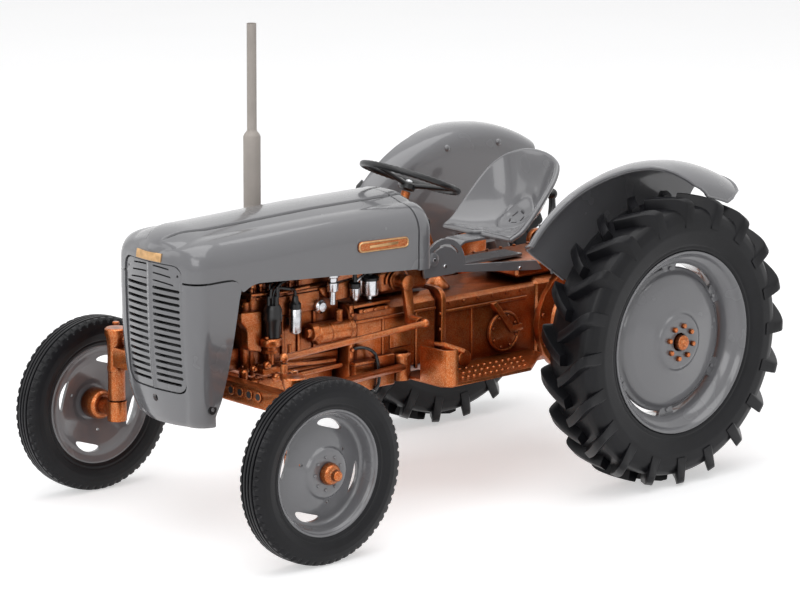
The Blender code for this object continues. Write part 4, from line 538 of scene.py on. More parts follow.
def front_tyre(centre, side, notches):
    """Turned profile with five ribs; the shoulder's radius drops in a short notch many times round."""
    half = [(15.1, 2.0), (15.1, 2.75), (15.9, 3.3), (16.45, 3.2), (16.7, 3.45), (18.3, 3.86), (19.6, 3.78),
            (20.7, 3.45), (21.5, 3.15), (22.0, 2.75), (22.12, 2.0), (21.5, 1.88), (21.5, 1.6), (22.18, 1.48),
            (22.2, 0.78), (21.6, 0.68), (21.6, 0.42), (22.2, 0.3)]
    profile = softened(both_walls(half), 0.14)
    steps = notches * 6
    verts, faces = turned(profile, centre, side, steps)
    angle_index = np.repeat(np.arange(steps), len(profile)) % 6
    radius = np.tile(profile[:, 0], steps)
    across = np.abs(np.tile(profile[:, 1], steps))
    cut = (angle_index < 2) & (radius > 20.9) & (across > 2.2)
    middle = np.asarray(centre, float)
    scale = np.where(cut, 1 - 0.42 / np.maximum(radius, 1), 1)[:, None]
    flat = verts - middle
    flat[:, [0, 2]] *= scale
    return flat + middle, faces


def lens(turn, radius, half_length, half_width, count=28):
    """A pointed oval across the radius, by a sine from tip to tip on each side."""
    t = np.linspace(0, 2 * math.pi, count, endpoint=False)
    along = np.cos(t) * half_length
    across = np.sign(np.sin(t)) * np.abs(np.sin(t)) ** 1.1 * half_width - along ** 2 * 0.045
    return spun(np.column_stack([radius + across, along]), turn)


def front_wheel(label, side, notches):
    """Ribbed tyre, a rim pressed in one with its disc, four curved slots and three small holes, cap and bolts."""
    centre = (FRONT_WHEEL[0], side * FRONT_WHEEL[1], FRONT_WHEEL[2])
    body = "front_wheel_" + label
    piece("ribbed_tyre_" + label, [front_tyre(centre, side, notches)], "tyre_rubber", body, ("front_tyre_" + label,),
          sharp=28)
    profile = [(15.3, 2.6), (15.2, 2.95), (14.75, 2.95), (14.45, 2.3), (14.05, 2.0), (13.75, 1.2), (13.5, -0.5),
               (13.0, -1.15), (12.2, -1.1), (10.6, -0.55), (8.2, 0.65), (6.8, 1.4), (6.3, 1.7), (5.8, 2.4),
               (5.1, 2.65), (1.7, 2.65), (1.7, 1.4), (4.6, 1.4), (6.0, 0.6), (8.0, -0.2), (10.6, -1.4), (12.3, -1.95),
               (13.3, -2.0), (14.2, -2.5), (14.8, -2.95), (15.3, -2.7), (14.3, -1.5), (14.5, 1.4)]
    cuts = [lens(2 * math.pi * (n + 0.20) / 4, 11.45, 3.9, 1.05) for n in range(4)]
    cuts += [ring_of(12, 0.42) + spot for spot in ring_of(3, 7.4, 2.47)]
    cutters = [plate(cut + (centre[0], centre[2]), *span(side, 38, 50)) for cut in cuts]
    piece("pressed_rim_" + label, [turned(softened(profile, 0.3), centre, side, 120)], "grey_enamel", body,
          ("front_rim_" + label,), cutters=cutters, sharp=42)
    cap = [(0.05, 6.7), (1.0, 6.65), (1.3, 6.3), (1.32, 5.1), (1.9, 4.9), (2.4, 4.4), (2.7, 3.5), (2.75, 2.7),
           (1.75, 2.7), (1.75, 4.0), (0.05, 4.0)]
    back = [(0.05, -4.3), (2.9, -4.3), (3.6, -3.6), (3.9, -2.4), (3.9, 0.2), (3.4, 1.3), (0.05, 1.3)]
    piece("hub_cap_" + label, [turned(softened(cap, 0.25, closed=False), centre, side, 64, closed=False),
                               turned(softened(back, 0.25, closed=False), centre, side, 48, closed=False)],
          "bronze_enamel", body, ("front_hub_cap_" + label,))
    spots = ring_of(9, 4.0)
    places = at(centre[0] + spots[:, 0], centre[1] + side * 2.6, centre[2] + spots[:, 1])
    piece("wheel_bolts_" + label, [heads(places, (0, side, 0), 0.42, 0.4)], "grey_enamel", body, sharp=20)


def lug_bars(centre, side, count):
    """Twenty bars a side. Each runs from past the middle to the side wall; its ring is a rounded trapezium whose
    turn round the wheel grows with its place across, and whose foot stays inside the carcass."""
    s = np.linspace(0, 1, 16)
    knots = np.array([
        # place across, turn, top radius, foot radius, half width
        (-0.08, -0.05, 37.15, 33.9, 1.30),
        (0.22, 0.20, 37.2, 33.9, 1.38),
        (0.52, 0.50, 37.15, 33.7, 1.45),
        (0.78, 0.80, 36.9, 32.6, 1.45),
        (0.95, 0.97, 36.1, 30.8, 1.30),
        (1.00, 1.02, 35.0, 29.6, 1.12)])
    rows = spline(knots, len(s))
    across, turn, top, foot, wide = rows.T
    # ring of eight corners: foot, flank, rounded shoulders and top
    level = np.array([0.0, 0.86, 0.97, 1.0, 1.0, 0.97, 0.86, 0.0])
    spread = np.array([-1.3, -1.04, -0.96, -0.78, 0.78, 0.96, 1.04, 1.3])
    radius = foot[:, None] + (top - foot)[:, None] * level
    swing = wide[:, None] * spread / radius
    shapes = []
    pitch = 2 * math.pi / count
    half_tread, lean = 7.9, math.radians(10)
    start = pitch * np.arange(count)
    for hand in (1, -1):
        phase = pitch * 0.5 if hand == side else 0.0
        angle = (start + phase)[:, None, None] + (turn[:, None] * lean + swing)[None]
        y = np.broadcast_to((centre[1] + hand * half_tread * across)[None, :, None], angle.shape)
        points = np.stack([centre[0] + radius * np.cos(angle), y, centre[2] + radius * np.sin(angle)], -1)
        one = grid(points[0], close_v=True, caps=True)
        size = points.shape[1] * points.shape[2]
        steps = np.arange(count)[:, None, None] * size
        shapes.append((points.reshape(-1, 3), [(part[None] + steps).reshape(-1, part.shape[1]) for part in one[1]]))
    return shapes


def rear_wheel(label, side, lugs):
    """Lugged tyre, rim, bowl-shaped disc with its clamps, and the hub with its bolts."""
    centre = (REAR_WHEEL[0], side * REAR_WHEEL[1], REAR_WHEEL[2])
    body = "rear_wheel_" + label
    wall = [(23.1, 4.1), (23.1, 6.1), (24.0, 6.8), (24.7, 6.7), (25.0, 7.0), (25.6, 7.15), (28.6, 7.72), (31.2, 7.62),
            (33.0, 7.0), (34.0, 6.1), (34.5, 4.6), (34.6, 2.3), (34.6, 0.0)]
    carcass = turned(softened(both_walls(wall[:-1]), 0.4), centre, side, 160)
    piece("lugged_tyre_" + label, [carcass] + lug_bars(centre, side, lugs), "tyre_rubber", body,
          ("rear_tyre_" + label,), sharp=30)
    rim = [(23.4, 6.3), (23.35, 6.75), (22.9, 6.75), (22.4, 6.2), (21.9, 5.4), (20.9, 4.75), (20.2, 3.9), (19.6, 2.8),
           (19.4, 1.0), (19.4, -3.0), (20.4, -4.6), (21.6, -5.4), (22.6, -6.7), (23.4, -6.7), (21.4, -4.7),
           (20.3, -2.6), (20.3, 2.6), (21.4, 4.7)]
    disc = [(18.6, 0.3), (18.6, 1.2), (17.6, 1.5), (16.7, 2.5), (14.5, 3.3), (11.0, 4.05), (8.3, 4.55), (7.5, 4.9),
            (6.9, 5.6), (6.3, 5.8), (2.2, 5.8), (2.2, 4.8), (5.8, 4.8), (7.0, 3.9), (11.0, 3.2), (15.8, 1.7),
            (17.3, 0.5)]
    corners = softened([(16.8, -1.7), (18.4, -2.3), (19.9, -2.9), (19.9, 2.9), (18.4, 2.3), (16.8, 1.7)], 0.5,
                       steps=3)
    clamps, bolts = [], []
    for turn in (np.arange(6) + 0.5) * math.pi / 3:
        clamps.append(plate(spun(corners, turn) + (centre[0], centre[2]),
                            *span(side, REAR_WHEEL[1] + 0.1, REAR_WHEEL[1] + 1.5), "Y", 0.25))
        bolts.append((centre[0] + 18.3 * math.cos(turn), centre[1] + side * 1.4, centre[2] + 18.3 * math.sin(turn)))
    piece("rim_and_disc_" + label, [turned(softened(rim, 0.4), centre, side, 144),
                                    turned(softened(disc, 0.5), centre, side, 120)]
          + clamps + [heads(bolts, (0, side, 0), 0.6, 0.5)], "grey_enamel", body, ("rear_rim_" + label,), sharp=42)
    hub = [(0.05, -9.6), (11.0, -9.6), (11.2, -9.4), (11.2, -4.8), (10.6, -4.5), (5.0, -3.8), (3.4, 2.8), (5.2, 4.0),
           (5.2, 4.5), (1.9, 4.5), (1.95, 7.0), (1.5, 7.3), (0.9, 7.4), (0.8, 7.7), (0.05, 7.7)]
    spots = ring_of(8, 4.2, 0.2)
    places = at(centre[0] + spots[:, 0], centre[1] + side * 5.75, centre[2] + spots[:, 1])
    piece("hub_and_bolts_" + label, [turned(softened(hub, 0.2, closed=False), centre, side, 72, closed=False),
                                     heads(places, (0, side, 0), 0.72, 0.95)], "bronze_enamel", body,
          ("rear_hub_" + label,), sharp=30)


# Sheet metal

def hood_row(x, half, top, edge, corner, crease, line=5.8):
    """A bonnet section: straight side, round corner and a crowned top whose middle panel stands a little proud
    beside a narrow groove."""
    side = np.linspace(0, 1, 9)[:-1]
    turn = np.linspace(0, math.pi / 2, 13)[:-1]
    flat = half - corner
    line = min(line, flat * 0.7)
    near = np.array([0.42, 0.30, 0.20, 0.10, 0.02, -0.08, -0.18, -0.32, -0.5]) * min(1, flat / 5)
    y = np.concatenate([np.linspace(flat, line + near[0] * 2, 9), line + near,
                        np.linspace(line + near[-1] * 2, 0, 9)])
    z = top - HOOD_CROWN * (y / flat) ** 2 + crease / (1 + np.exp(np.clip((y - line) / 0.06, -30, 30))) - crease
    z = z - 1.5 * crease * np.exp(-((y - line - 0.12) / 0.16) ** 2)
    shoulder = top - HOOD_CROWN - corner
    y = np.concatenate([np.full(8, half), flat + corner * np.cos(turn), y])
    z = np.concatenate([edge + (shoulder - edge) * side, shoulder + corner * np.sin(turn), z])
    z[8:20] -= crease * np.sin(turn) ** 4
    y = np.concatenate([y, -y[-2::-1]])
    z = np.concatenate([z, z[-2::-1]])
    return np.column_stack([np.full(len(y), x), y, z])


def hood_half(x):
    """The bonnet's half width at a place along it."""
    return HOOD_HALF - 1.2 * np.clip((x - HOOD_REAR) / 55.5, 0, 1)


def nose_front(z):
    """Where the nose's front corners stand at a height: nearly upright, then drawn in under the chin."""
    return np.interp(z, [27.6, 28.6, 31.0, 34.0, 36.0, 40.0, 46.0, 52.0, 60.0],
                     [125.2, 125.9, 126.6, 127.2, 127.5, 128.0, 128.5, 128.8, 129.0])


def nose_half(z):
    """The nose's half width at a height."""
    return np.interp(z, [27.6, 28.6, 31.0, 34.0, 40.0, 48.0], [12.6, 13.3, 14.1, 14.9, 15.5, 15.8])


def grille_outline(half, low, high, radius):
    """A rectangle with round corners."""
    return softened([(-half, low), (half, low), (half, high), (-half, high)], radius, steps=9)


def bonnet():
    """Sections along X. Near the nose the height falls and the width narrows by circle functions of the distance to
    the front, and past the corners the front bulges by a square function across."""
    edges = np.array([(60.0, 58.8), (72.0, 59.5), (85.0, 60.4), (98.0, 61.1), (107.5, 61.7), (109.7, 61.8),
                      (111.4, 61.5), (112.8, 60.9), (113.7, 60.4), (114.3, 60.2), (114.9, 60.7), (115.3, 61.8),
                      (116.1, 63.0), (117.3, 63.55), (118.9, 63.75), (121.0, 63.75), (124.0, 63.7), (131.0, 63.7)])
    tip = [-8.4, -7.4, -6.4, -5.4, -4.6, -3.8, -3.0, -2.3, -1.7, -1.2, -0.75, -0.4, -0.15, 0.0, 0.25, 0.55, 0.85, 1.1,
           1.3, 1.42, 1.48]
    where = np.concatenate([np.linspace(HOOD_REAR, 107.5, 28), np.linspace(108.5, 119.5, 26), NOSE_X + np.array(tip)])
    ahead = HOOD_TIP - where
    fall = np.interp(where, [60, 85, 98, 107.5, 114, 120], [0.0, 0.2, 0.6, 0.95, 1.15, 1.3])
    fall = fall + 5.6 * (1 - np.sqrt(1 - np.clip(1 - ahead / 10.5, 0, 1) ** 2))
    half = hood_half(where)
    narrow = NOSE_CORNER * (1 - np.sqrt(1 - np.clip(1 - (NOSE_X - where) / NOSE_CORNER, 0, 1) ** 2))
    bulge = GRILLE_HALF * np.sqrt(np.clip(1 - (where - NOSE_X) / NOSE_BULGE, 0.004, 1))
    half = np.where(where <= NOSE_X, half - narrow, bulge)
    corner = np.minimum(np.interp(ahead, [0, 1.5, 11], [5.0, 5.4, 7.1]), half * 0.5)
    edge = np.interp(where, edges[:, 0], edges[:, 1])
    crease = 0.36 * np.clip((ahead - 1.2) / 2, 0, 1)
    line = np.interp(where, [60, 118, 122, 126, 128.5, 130], [5.8, 5.8, 5.2, 3.9, 2.6, 1.6])
    rows = [hood_row(*values) for values in zip(where, half, HOOD_TOP - fall, edge, corner, crease, line)]
    points, faces = grid(np.stack(rows))
    count = rows[0].shape[0]
    faces.append((np.arange(count) + (len(rows) - 1) * count)[None])
    groove = line + 0.12
    height = HOOD_TOP - fall - HOOD_CROWN * (groove / (half - corner)) ** 2 - crease * 1.5
    run = (where > 60.6) & (where < 127.6)
    # thin black tubes along the bonnet's grooves: painted shade in them
    groove_shade_tubes = [swept(at(where, side * groove, height)[run], 0.15, 6, UP) for _, side in SIDES]
    piece("panel_seams", groove_shade_tubes, "black_plastic", sharp=60)
    hole = [plate(grille_outline(11.1, 58.0, 67.5, 3.2), 124.0, 133.0, "X", 0.01)]
    piece("bonnet_sheet", [(points, faces)], "grey_enamel", replaces=("bonnet",), thickness=0.8, cutters=hole,
          sharp=38)


def nose():
    """The bend runs back to front round a corner and across. Its foot is drawn in, its rear ends follow the cheeks'
    slanting edges and each cheek's top rises to a rounded shoulder."""
    flat, bend = 23, 15         # columns along a cheek and round its corner, with as many again across
    t = np.linspace(0, 1, flat + 1)[:-1]
    turn = np.linspace(0, math.pi / 2, bend + 1)[:-1]
    front_y = np.linspace(1, 0, bend)
    top = np.interp(t, [0, 0.03, 0.08, 0.17, 0.3, 0.43, 1.0], [60.7, 61.7, 62.4, 63.0, 63.2, 63.25, 63.2])
    top = np.concatenate([top, np.full(2 * bend, 63.2)])
    low = np.concatenate([np.interp(t, [0, 0.06, 0.15, 0.4, 1], [28.9, 28.3, 27.9, 27.7, 27.6]),
                          np.full(2 * bend, 27.6)])
    share = np.concatenate([np.linspace(0, 0.12, 8)[:-1], np.linspace(0.12, 0.85, 26)[:-1],
                            np.linspace(0.85, 1, 8)])[:, None]
    z = low + (top - low) * share
    rear = np.interp(z[:, :flat], [27.6, 28.6, 35.0, 42.0, 51.5, 58.5, 60.8, 63.0],
                     [122.9, 121.9, 120.2, 118.6, 116.7, 115.4, 114.8, 114.7])
    front, half = nose_front(z), nose_half(z)
    rear = np.minimum(rear, front[:, :flat] - NOSE_CORNER - 0.5)
    side_x = rear + (front[:, :flat] - NOSE_CORNER - rear) * t
    arc_x = front[:, flat:flat + bend] - NOSE_CORNER * (1 - np.sin(turn))
    arc_y = half[:, flat:flat + bend] - NOSE_CORNER * (1 - np.cos(turn))
    face_y = (half[:, flat + bend:] - NOSE_CORNER) * front_y
    face_x = front[:, flat + bend:] + NOSE_BULGE * (1 - front_y ** 2)
    x = np.concatenate([side_x, arc_x, face_x], 1)
    y = np.concatenate([half[:, :flat], arc_y, face_y], 1)
    points = np.stack([np.concatenate([x, x[:, -2::-1]], 1), np.concatenate([y, -y[:, -2::-1]], 1),
                       np.concatenate([z, z[:, -2::-1]], 1)], -1)
    hole = [plate(grille_outline(11.1, 36.1, 66.0, 3.2), 122.0, 133.0, "X", 0.01),
            lathe([(0.95, 0), (0.95, 10)], (124, 0, 33.9), (1, 0, 0), 24)]
    piece("nose_sheet", [grid(points)], "grey_enamel", replaces=("nose_panel",), thickness=0.8, cutters=hole,
          sharp=38)
    seal = spline([(115.6, 61.6), (118.0, 63.0), (121.0, 63.2), (124.5, 63.2)], 30)
    outline = np.vstack([seal + (0, 1.6), seal[::-1] - (0, 1.4)])
    piece("hinge_seal", [plate(outline, *span(side, 13.9, 14.9), "Y", 0.1) for _, side in SIDES], "black_plastic")
    # black discs in the cheeks' recesses round the screws: painted shade
    rings = [lathe([(0.1, -0.6), (1.15, -0.6), (1.15, 0.16), (0.1, 0.16)], (122.8, side * nose_half(32.6), 32.6),
                   (0, side, 0), 24) for _, side in SIDES]
    piece("cheek_recesses", rings, "black_plastic", sharp=30)
    screws = [lathe([(0.1, -0.4), (0.45, -0.4), (0.45, 0.3), (0.3, 0.4), (0.1, 0.4)],
                    (122.9, side * nose_half(32.6), 32.7), (0, side, 0), 20) for _, side in SIDES]
    piece("cheek_screws", screws, "grey_enamel", sharp=30)


def grille():
    """A plate bowed as the nose is, with a rib down its middle. Fifteen straight slots a side stand under thinner,
    shorter ones that bend down at their outer ends. A black sheet behind them is painted shade."""
    half, low, high, radius = 10.8, 36.4, 67.2, 3.0
    z = np.concatenate([low + radius * (1 - np.cos(np.linspace(0, math.pi / 2, 9))),
                        np.linspace(low + radius, high - radius, 40)[1:-1],
                        high - radius * (1 - np.sin(np.linspace(0, math.pi / 2, 9)))])
    gap = np.maximum(np.maximum(low + radius - z, z - high + radius), 0)
    wide = half - radius + np.sqrt(np.maximum(radius ** 2 - gap ** 2, 0))
    yy = wide[:, None] * np.concatenate([np.linspace(-1, -0.12, 20), [-0.08, -0.05, -0.02, 0, 0.02, 0.05, 0.08],
                                         np.linspace(0.12, 1, 20)])
    zz = z[:, None] + 0 * yy
    bow = nose_front(zz) + NOSE_BULGE * (1 - (yy / GRILLE_HALF) ** 2) + 0.35 * np.exp(-(yy / 0.5) ** 2) - 0.4
    sheet = grid(np.stack([bow, yy, zz], -1))
    slots = []
    for row in range(18):
        thin = row > 14
        middle = 38.5 + 1.63 * row + (0.12 * (row - 14) if thin else 0)
        thick, bend = (0.19, 0.75) if thin else (0.37, 0.15)
        reach = (8.0, 7.2, 6.6)[row - 15] if thin else (9.1 if row == 0 else 9.7)
        for hand in (1, -1):
            across = np.linspace(1.3, reach, 9)
            line = middle - bend * (across / 9.7) ** 2
            upper = np.column_stack([across, line + thick])
            lower = np.column_stack([across, line - thick])[::-1]
            outline = np.vstack([upper, [(reach + thick * 0.9, line[-1])], lower, [(1.3 - thick * 0.9, line[0])]])
            slots.append(plate((outline * (hand, 1))[::hand], 124.0, 132.5, "X", 0.01))
    for y in (-9.4, 9.4):
        slots.append(lathe([(0.33, 0), (0.33, 8)], (125, y, 64.9), (1, 0, 0), 14))
    piece("grille_plate", [sheet], "grey_enamel", replaces=("grille",), thickness=0.7, cutters=slots, sharp=40)
    # black sheet behind the slots: painted shade, so the slots read dark
    shade_sheet_y, shade_sheet_z = np.meshgrid(np.linspace(-11.4, 11.4, 9), np.linspace(35.4, 67.9, 12))
    shade_sheet = np.stack([nose_front(shade_sheet_z) + NOSE_BULGE * (1 - (shade_sheet_y / GRILLE_HALF) ** 2) - 2.3, shade_sheet_y,
                       shade_sheet_z], -1)
    piece("grille_screen", [grid(shade_sheet)], "black_plastic", thickness=0.3)


def cowl():
    """Sections behind the bonnet, the rear one drawn in all round, closed front and back."""
    xs = np.array([59.45, 59.3, 57.5, 56.2, 55.7, 55.4, 55.3])
    shy = np.array([0.35, 0.1, 0.0, 0.15, 0.45, 0.9, 1.4])
    rows = [hood_row(x, HOOD_HALF - s, HOOD_TOP - s, 58.4, 7.1, 0.3) for x, s in zip(xs, shy)]
    piece("dash_cowl", [grid(np.stack(rows), close_v=True, caps=True)], "grey_enamel", replaces=("cowl",), sharp=38)


def mudguard(label, side):
    """Turned about the axle. The sheet climbs the flat inner wall, rounds over the crown and drops to its outer edge,
    whose place across grows from front to rear, so the outer face is deep only behind the crown."""
    knots = [(0, 40.0), (0.4, 42.6), (1.9, 44.4), (4.4, 45.35), (8.0, 45.5), (12.0, 44.7), (15.2, 43.1), (17.4, 41.0),
             (18.2, 39.2), (18.45, 38.0)]
    outer = spline(knots, 90)
    v = np.linspace(0, 1, 90)[:, None]
    angle = np.radians(35.5 + 88.0 * v)
    degrees = np.degrees(angle)
    reach = np.interp(degrees, [35, 42, 50, 60, 70, 80, 86, 90, 94, 98, 105, 112, 118, 121, 123.5],
                      [4.2, 4.6, 5.2, 6.0, 7.2, 8.9, 10.8, 13.2, 15.8, 17.6, 18.45, 18.45, 18.45, 18.1, 16.2])
    share = np.linspace(0, 1, 44)[None]
    across = reach * share
    radius = np.interp(across, outer[:, 0], outer[:, 1])
    radius = radius + np.interp(degrees, [36, 45, 58, 70, 80, 95, 110, 122],
                                [1.3, 1.0, 0.2, -0.7, -1.0, -1.0, -0.5, 0.0])
    rounding = np.radians(np.interp(across, [0, 12, 16.5, 18], [0, 0, 1.2, 3.0])) * (v ** 12)
    low = np.minimum(13.0 / np.sin(angle), 38.0)
    climb = np.linspace(0, 1, 11)[None, :-1]
    inner = low + (radius[:, :1] - low) * climb
    radius = np.concatenate([inner, radius], 1)
    across = np.concatenate([np.zeros((90, 10)), across], 1)
    turn = angle - np.concatenate([np.zeros((90, 10)), rounding], 1)
    points = np.stack([radius * np.cos(turn), side * (GUARD_Y + across), AXLE_Z + radius * np.sin(turn)], -1)
    rim = np.vstack([points[0, 3:], points[1:-1, -1], points[-1, ::-1][:-12]])
    spots = np.radians([52, 78, 104])
    places = at(41.0 * np.cos(spots), side * (GUARD_Y - 0.3), AXLE_Z + 41.0 * np.sin(spots))
    piece("mudguard_sheet_" + label, [grid(points)], "grey_enamel", replaces=("mudguard_" + label,),
          thickness=0.7 * side, sharp=38)
    piece("mudguard_bead_" + label, [swept(rim, 0.42, 8, (0, 1, 0.2))], "grey_enamel")
    dome = lathe([(0.1, -0.2), (1.0, -0.2), (1.0, 0.1), (0.8, 0.5), (0.4, 0.7), (0.1, 0.75)], (0, 0, 0),
                 (0, -side, 0), 20)
    piece("mudguard_bolts_" + label, [repeated(dome, places)], "grey_enamel", sharp=50)
    path = at(np.linspace(31.5, 27.0, 20), side * (GUARD_Y + 0.25), np.linspace(68.5, 55.5, 20))
    piece("mudguard_rib_" + label, [swept(path, 0.3, 8, (0, 1, 0.2))], "grey_enamel")


def seat():
    """Rows from the front lip to the top of the back; each row climbs from its floor to its rim by a cubic power,
    and a shallow ring is pressed into the floor."""
    stations = np.array([(0.00, 0.00, 0.00, 0.00, 0.96), (0.22, -0.03, 0.20, 0.12, 1.00),
                         (0.46, -0.01, 0.48, 0.42, 1.00), (0.70, 0.08, 0.74, 0.70, 0.94),
                         (0.85, 0.28, 0.90, 0.86, 0.78), (0.94, 0.56, 0.97, 0.94, 0.54),
                         (0.98, 0.92, 0.99, 0.985, 0.30), (1.00, 1.00, 1.00, 1.00, 0.05)])
    count = 90
    front_x, length, floor_z, rise, half_width, middle_x = 24.6, 20.4, 60.9, 19.0, 13.0, 10.8
    rows = spline(stations, count)
    share = np.linspace(-1, 1, count + 1)
    climb = np.abs(share) ** 3
    x = front_x - length * (rows[:, :1] + (rows[:, 2:3] - rows[:, :1]) * climb)
    z = floor_z + rise * (rows[:, 1:2] + (rows[:, 3:4] - rows[:, 1:2]) * climb)
    y = half_width * rows[:, 4:5] * share
    ring = np.hypot(x - middle_x, y / 1.1)
    z = z - 0.75 * np.exp(-((ring - 4.7) / 0.42) ** 2)
    x = x - 2.4 * np.exp(-(y / 1.2) ** 2) * np.clip(1 - np.linspace(0, 1, count)[:, None] / 0.10, 0, 1)
    points = np.stack([x, y, z], -1)
    slots = []
    for turn in np.radians([20, 92, 164, 236, 308]):
        outline = spun(softened([(-0.8, -0.25), (0.8, -0.25), (0.8, 0.25), (-0.8, 0.25)], 0.2), turn + math.pi / 2)
        slots.append(plate(outline + (middle_x + 1.7 * math.cos(turn), 1.9 * math.sin(turn)), 57.0, 66.0, "Z", 0.01))
    rim = np.vstack([points[::-1, 0], points[0, 1:], points[1:, -1], points[-1, ::-1][1:]])
    low, high, bend_x, leaf = 53.95, 60.45, 31.4, 0.7
    curl = (high - low) / 2
    bend = np.linspace(math.pi / 2, -math.pi / 2, 24)
    arc = np.column_stack([np.cos(bend), np.sin(bend)])
    centre = np.array([bend_x, (low + high) / 2])
    outside = np.vstack([[(18.0, high)], centre + curl * arc, [(12.0, low)]])
    inside = np.vstack([[(12.0, low + leaf)], centre + (curl - leaf) * arc[::-1], [(18.0, high - leaf)]])
    piece("seat_sheet", [grid(points)], "grey_enamel", replaces=("seat_pan",), thickness=-0.8, cutters=slots,
          sharp=40)
    piece("seat_rolled_edge", [swept(rim, 0.62, 12, (0.3, 0.1, 1))], "grey_enamel")
    piece("seat_leaf_spring", [plate(np.vstack([outside, inside])[::-1], -3.5, 3.5, "Y", 0.12)], "grey_enamel")


def steering_wheel():
    """A torus round the tilted column axis, three spokes to a dished hub and a plated nut on top."""
    tilt = math.radians(21.8)
    down = np.array([math.sin(tilt), 0, -math.cos(tilt)])
    forward = np.array([math.cos(tilt), 0, math.sin(tilt)])
    left = np.array([0, 1.0, 0])
    centre = np.array([47.7, 0, 78.0])
    hub = centre + down * 2.5
    angle = np.linspace(0, 2 * math.pi, 96, endpoint=False)
    out = np.cos(angle)[:, None] * forward + np.sin(angle)[:, None] * left
    ring = np.linspace(0, 2 * math.pi, 14, endpoint=False)
    grip = 0.82 + 0.05 * np.cos(angle * 48)
    points = centre + out[:, None] * (12.4 + grip[:, None, None] * np.cos(ring)[None, :, None]) \
        - down * (grip[:, None] * np.sin(ring)[None])[..., None]
    shapes = [grid(points, close_u=True, close_v=True)]
    for turn in (0, 2 * math.pi / 3, -2 * math.pi / 3):
        tip = centre + 12.2 * (math.cos(turn) * forward + math.sin(turn) * left)
        path = spline([hub - down * 0.4, hub * 0.6 + tip * 0.4 - down * 0.3, tip], 16)
        shapes.append(swept(path, np.linspace(0.7, 0.5, 16), 10, (0.1, 0.2, 1)))
    shapes.append(lathe([(0.3, -0.8), (1.5, -0.8), (2.0, -0.4), (2.0, 0.9), (1.6, 1.2), (0.3, 1.2)], hub, -down, 32))
    piece("wheel_rim_and_spokes", shapes, "black_plastic", "steering_wheel", ("steering_wheel_rim",), sharp=40)
    piece("wheel_nut", [lathe([(0.1, 1.1), (1.0, 1.1), (1.0, 1.5), (0.6, 1.9), (0.1, 1.95)], hub, -down, 24)],
          "bright_metal", "steering_wheel")


def exhaust():
    """A tube out of the manifold that bends up, swells into the silencer and narrows to the tail pipe."""
    x, y = 83.0, -19.5
    elbow = spline([(x, -11.3, 56.0), (x, -13.5, 56.1), (x, -17.2, 56.8), (x, -19.0, 59.0), (x, y, 63.0),
                    (x, y, 70.4)], 48)
    stack = [(0.1, 0), (1.9, 0), (2.17, 0.4), (2.17, 21.6), (1.9, 22.2), (1.35, 22.9), (1.22, 23.3), (1.2, 49.8),
             (1.1, 49.8), (1.05, 47.0), (0.1, 47.0)]
    piece("exhaust_pipe", [swept(elbow, 1.74, 24, (1, 0, 0)), lathe(stack, (x, y, 68.2), UP, 40)], "stack_plastic",
          replaces=("exhaust_stack",), sharp=30)


# Castings and fittings

CASTINGS = ("gearbox_and_rear_axle", "lift_cover", "engine_block", "front_axle_beam", "front_bolster", "steering_box",
            "exhaust_manifold", "spindle_post_left", "spindle_post_right", "drag_link_rod_left",
            "drag_link_rod_right", "drop_arm_lever_left", "drop_arm_lever_right", "lift_arm_pair",
            "lift_rod_bar_left", "lift_rod_bar_right", "lower_link_bar_left", "lower_link_bar_right")


def castings():
    """The cast bodies in bronze, the radiator, tank and fan in black and the take-off shaft in bright metal."""
    for name in CASTINGS:
        cast_copy(name, "bronze_enamel")
    for name, paint in (("radiator", "black_plastic"), ("fuel_tank", "black_plastic"),
                        ("fan_and_pulleys", "black_plastic"), ("power_take_off", "bright_metal")):
        cast_copy(name, paint, 0.1)


def casting_bolts():
    """Rows of bolt heads on the flanges, round the gearbox plate and along the sump."""
    shapes = []
    flange_z = np.array([28.0, 32.0, 41.0, 45.0])
    for label, side in SIDES:
        plate_spots, trumpet_spots, drum_spots = ring_of(8, 4.1, 0.3), ring_of(10, 12.9, 0.2), ring_of(8, 9.6, 0.1)
        out = (0, side, 0)
        rows = ((at(47.7, side * 11.7, flange_z), (1, 0, 0), 0.5, 0.45),
                (at(76.3, side * 11.2, flange_z), (-1, 0, 0), 0.45, 0.4),
                (at(PLATE_X + plate_spots[:, 0], side * 11.35, AXLE_Z + plate_spots[:, 1]), out, 0.42, 0.4),
                (at(trumpet_spots[:, 0], side * 12.15, AXLE_Z + trumpet_spots[:, 1]), out, 0.6, 0.5),
                (at(drum_spots[:, 0], side * 32.55, AXLE_Z + drum_spots[:, 1]), (0, -side, 0), 0.5, 0.4),
                (at(np.linspace(80.2, 102.6, 8), side * 8.2, 35.9), (0, 0, -1), 0.4, 0.5),
                (at(np.linspace(19.0, 43.5, 6), side * 10.3, 46.9), out, 0.4, 0.35),
                (at(np.linspace(51.0, 74.0, 5), side * 11.1, 33.4), out, 0.4, 0.35))
        shapes += [heads(*row) for row in rows]
        piece("kingpin_nut_" + label, [heads([(WHEELBASE, side * KINGPIN_Y, 43.9)], UP, 0.9, 0.7)], "bronze_enamel",
              "spindle_" + label, sharp=20)
    head_rows = [(x, y, 63.9) for x in np.linspace(81.6, 102.6, 5) for y in (-6.3, 6.3)]
    cover = [(107.5, y, z) for y in (-7.0, 7.0) for z in (39.5, 44.5, 49.5, 54.3)]
    lift = [(x, y, 53.55) for x in np.linspace(-1.5, 18.0, 5) for y in (-8.8, 8.8)]
    shapes += [heads(head_rows, UP, 0.55, 0.7), heads(cover, (1, 0, 0), 0.42, 0.4), heads(lift, UP, 0.5, 0.45)]
    piece("casting_bolts", shapes, "bronze_enamel", sharp=20)


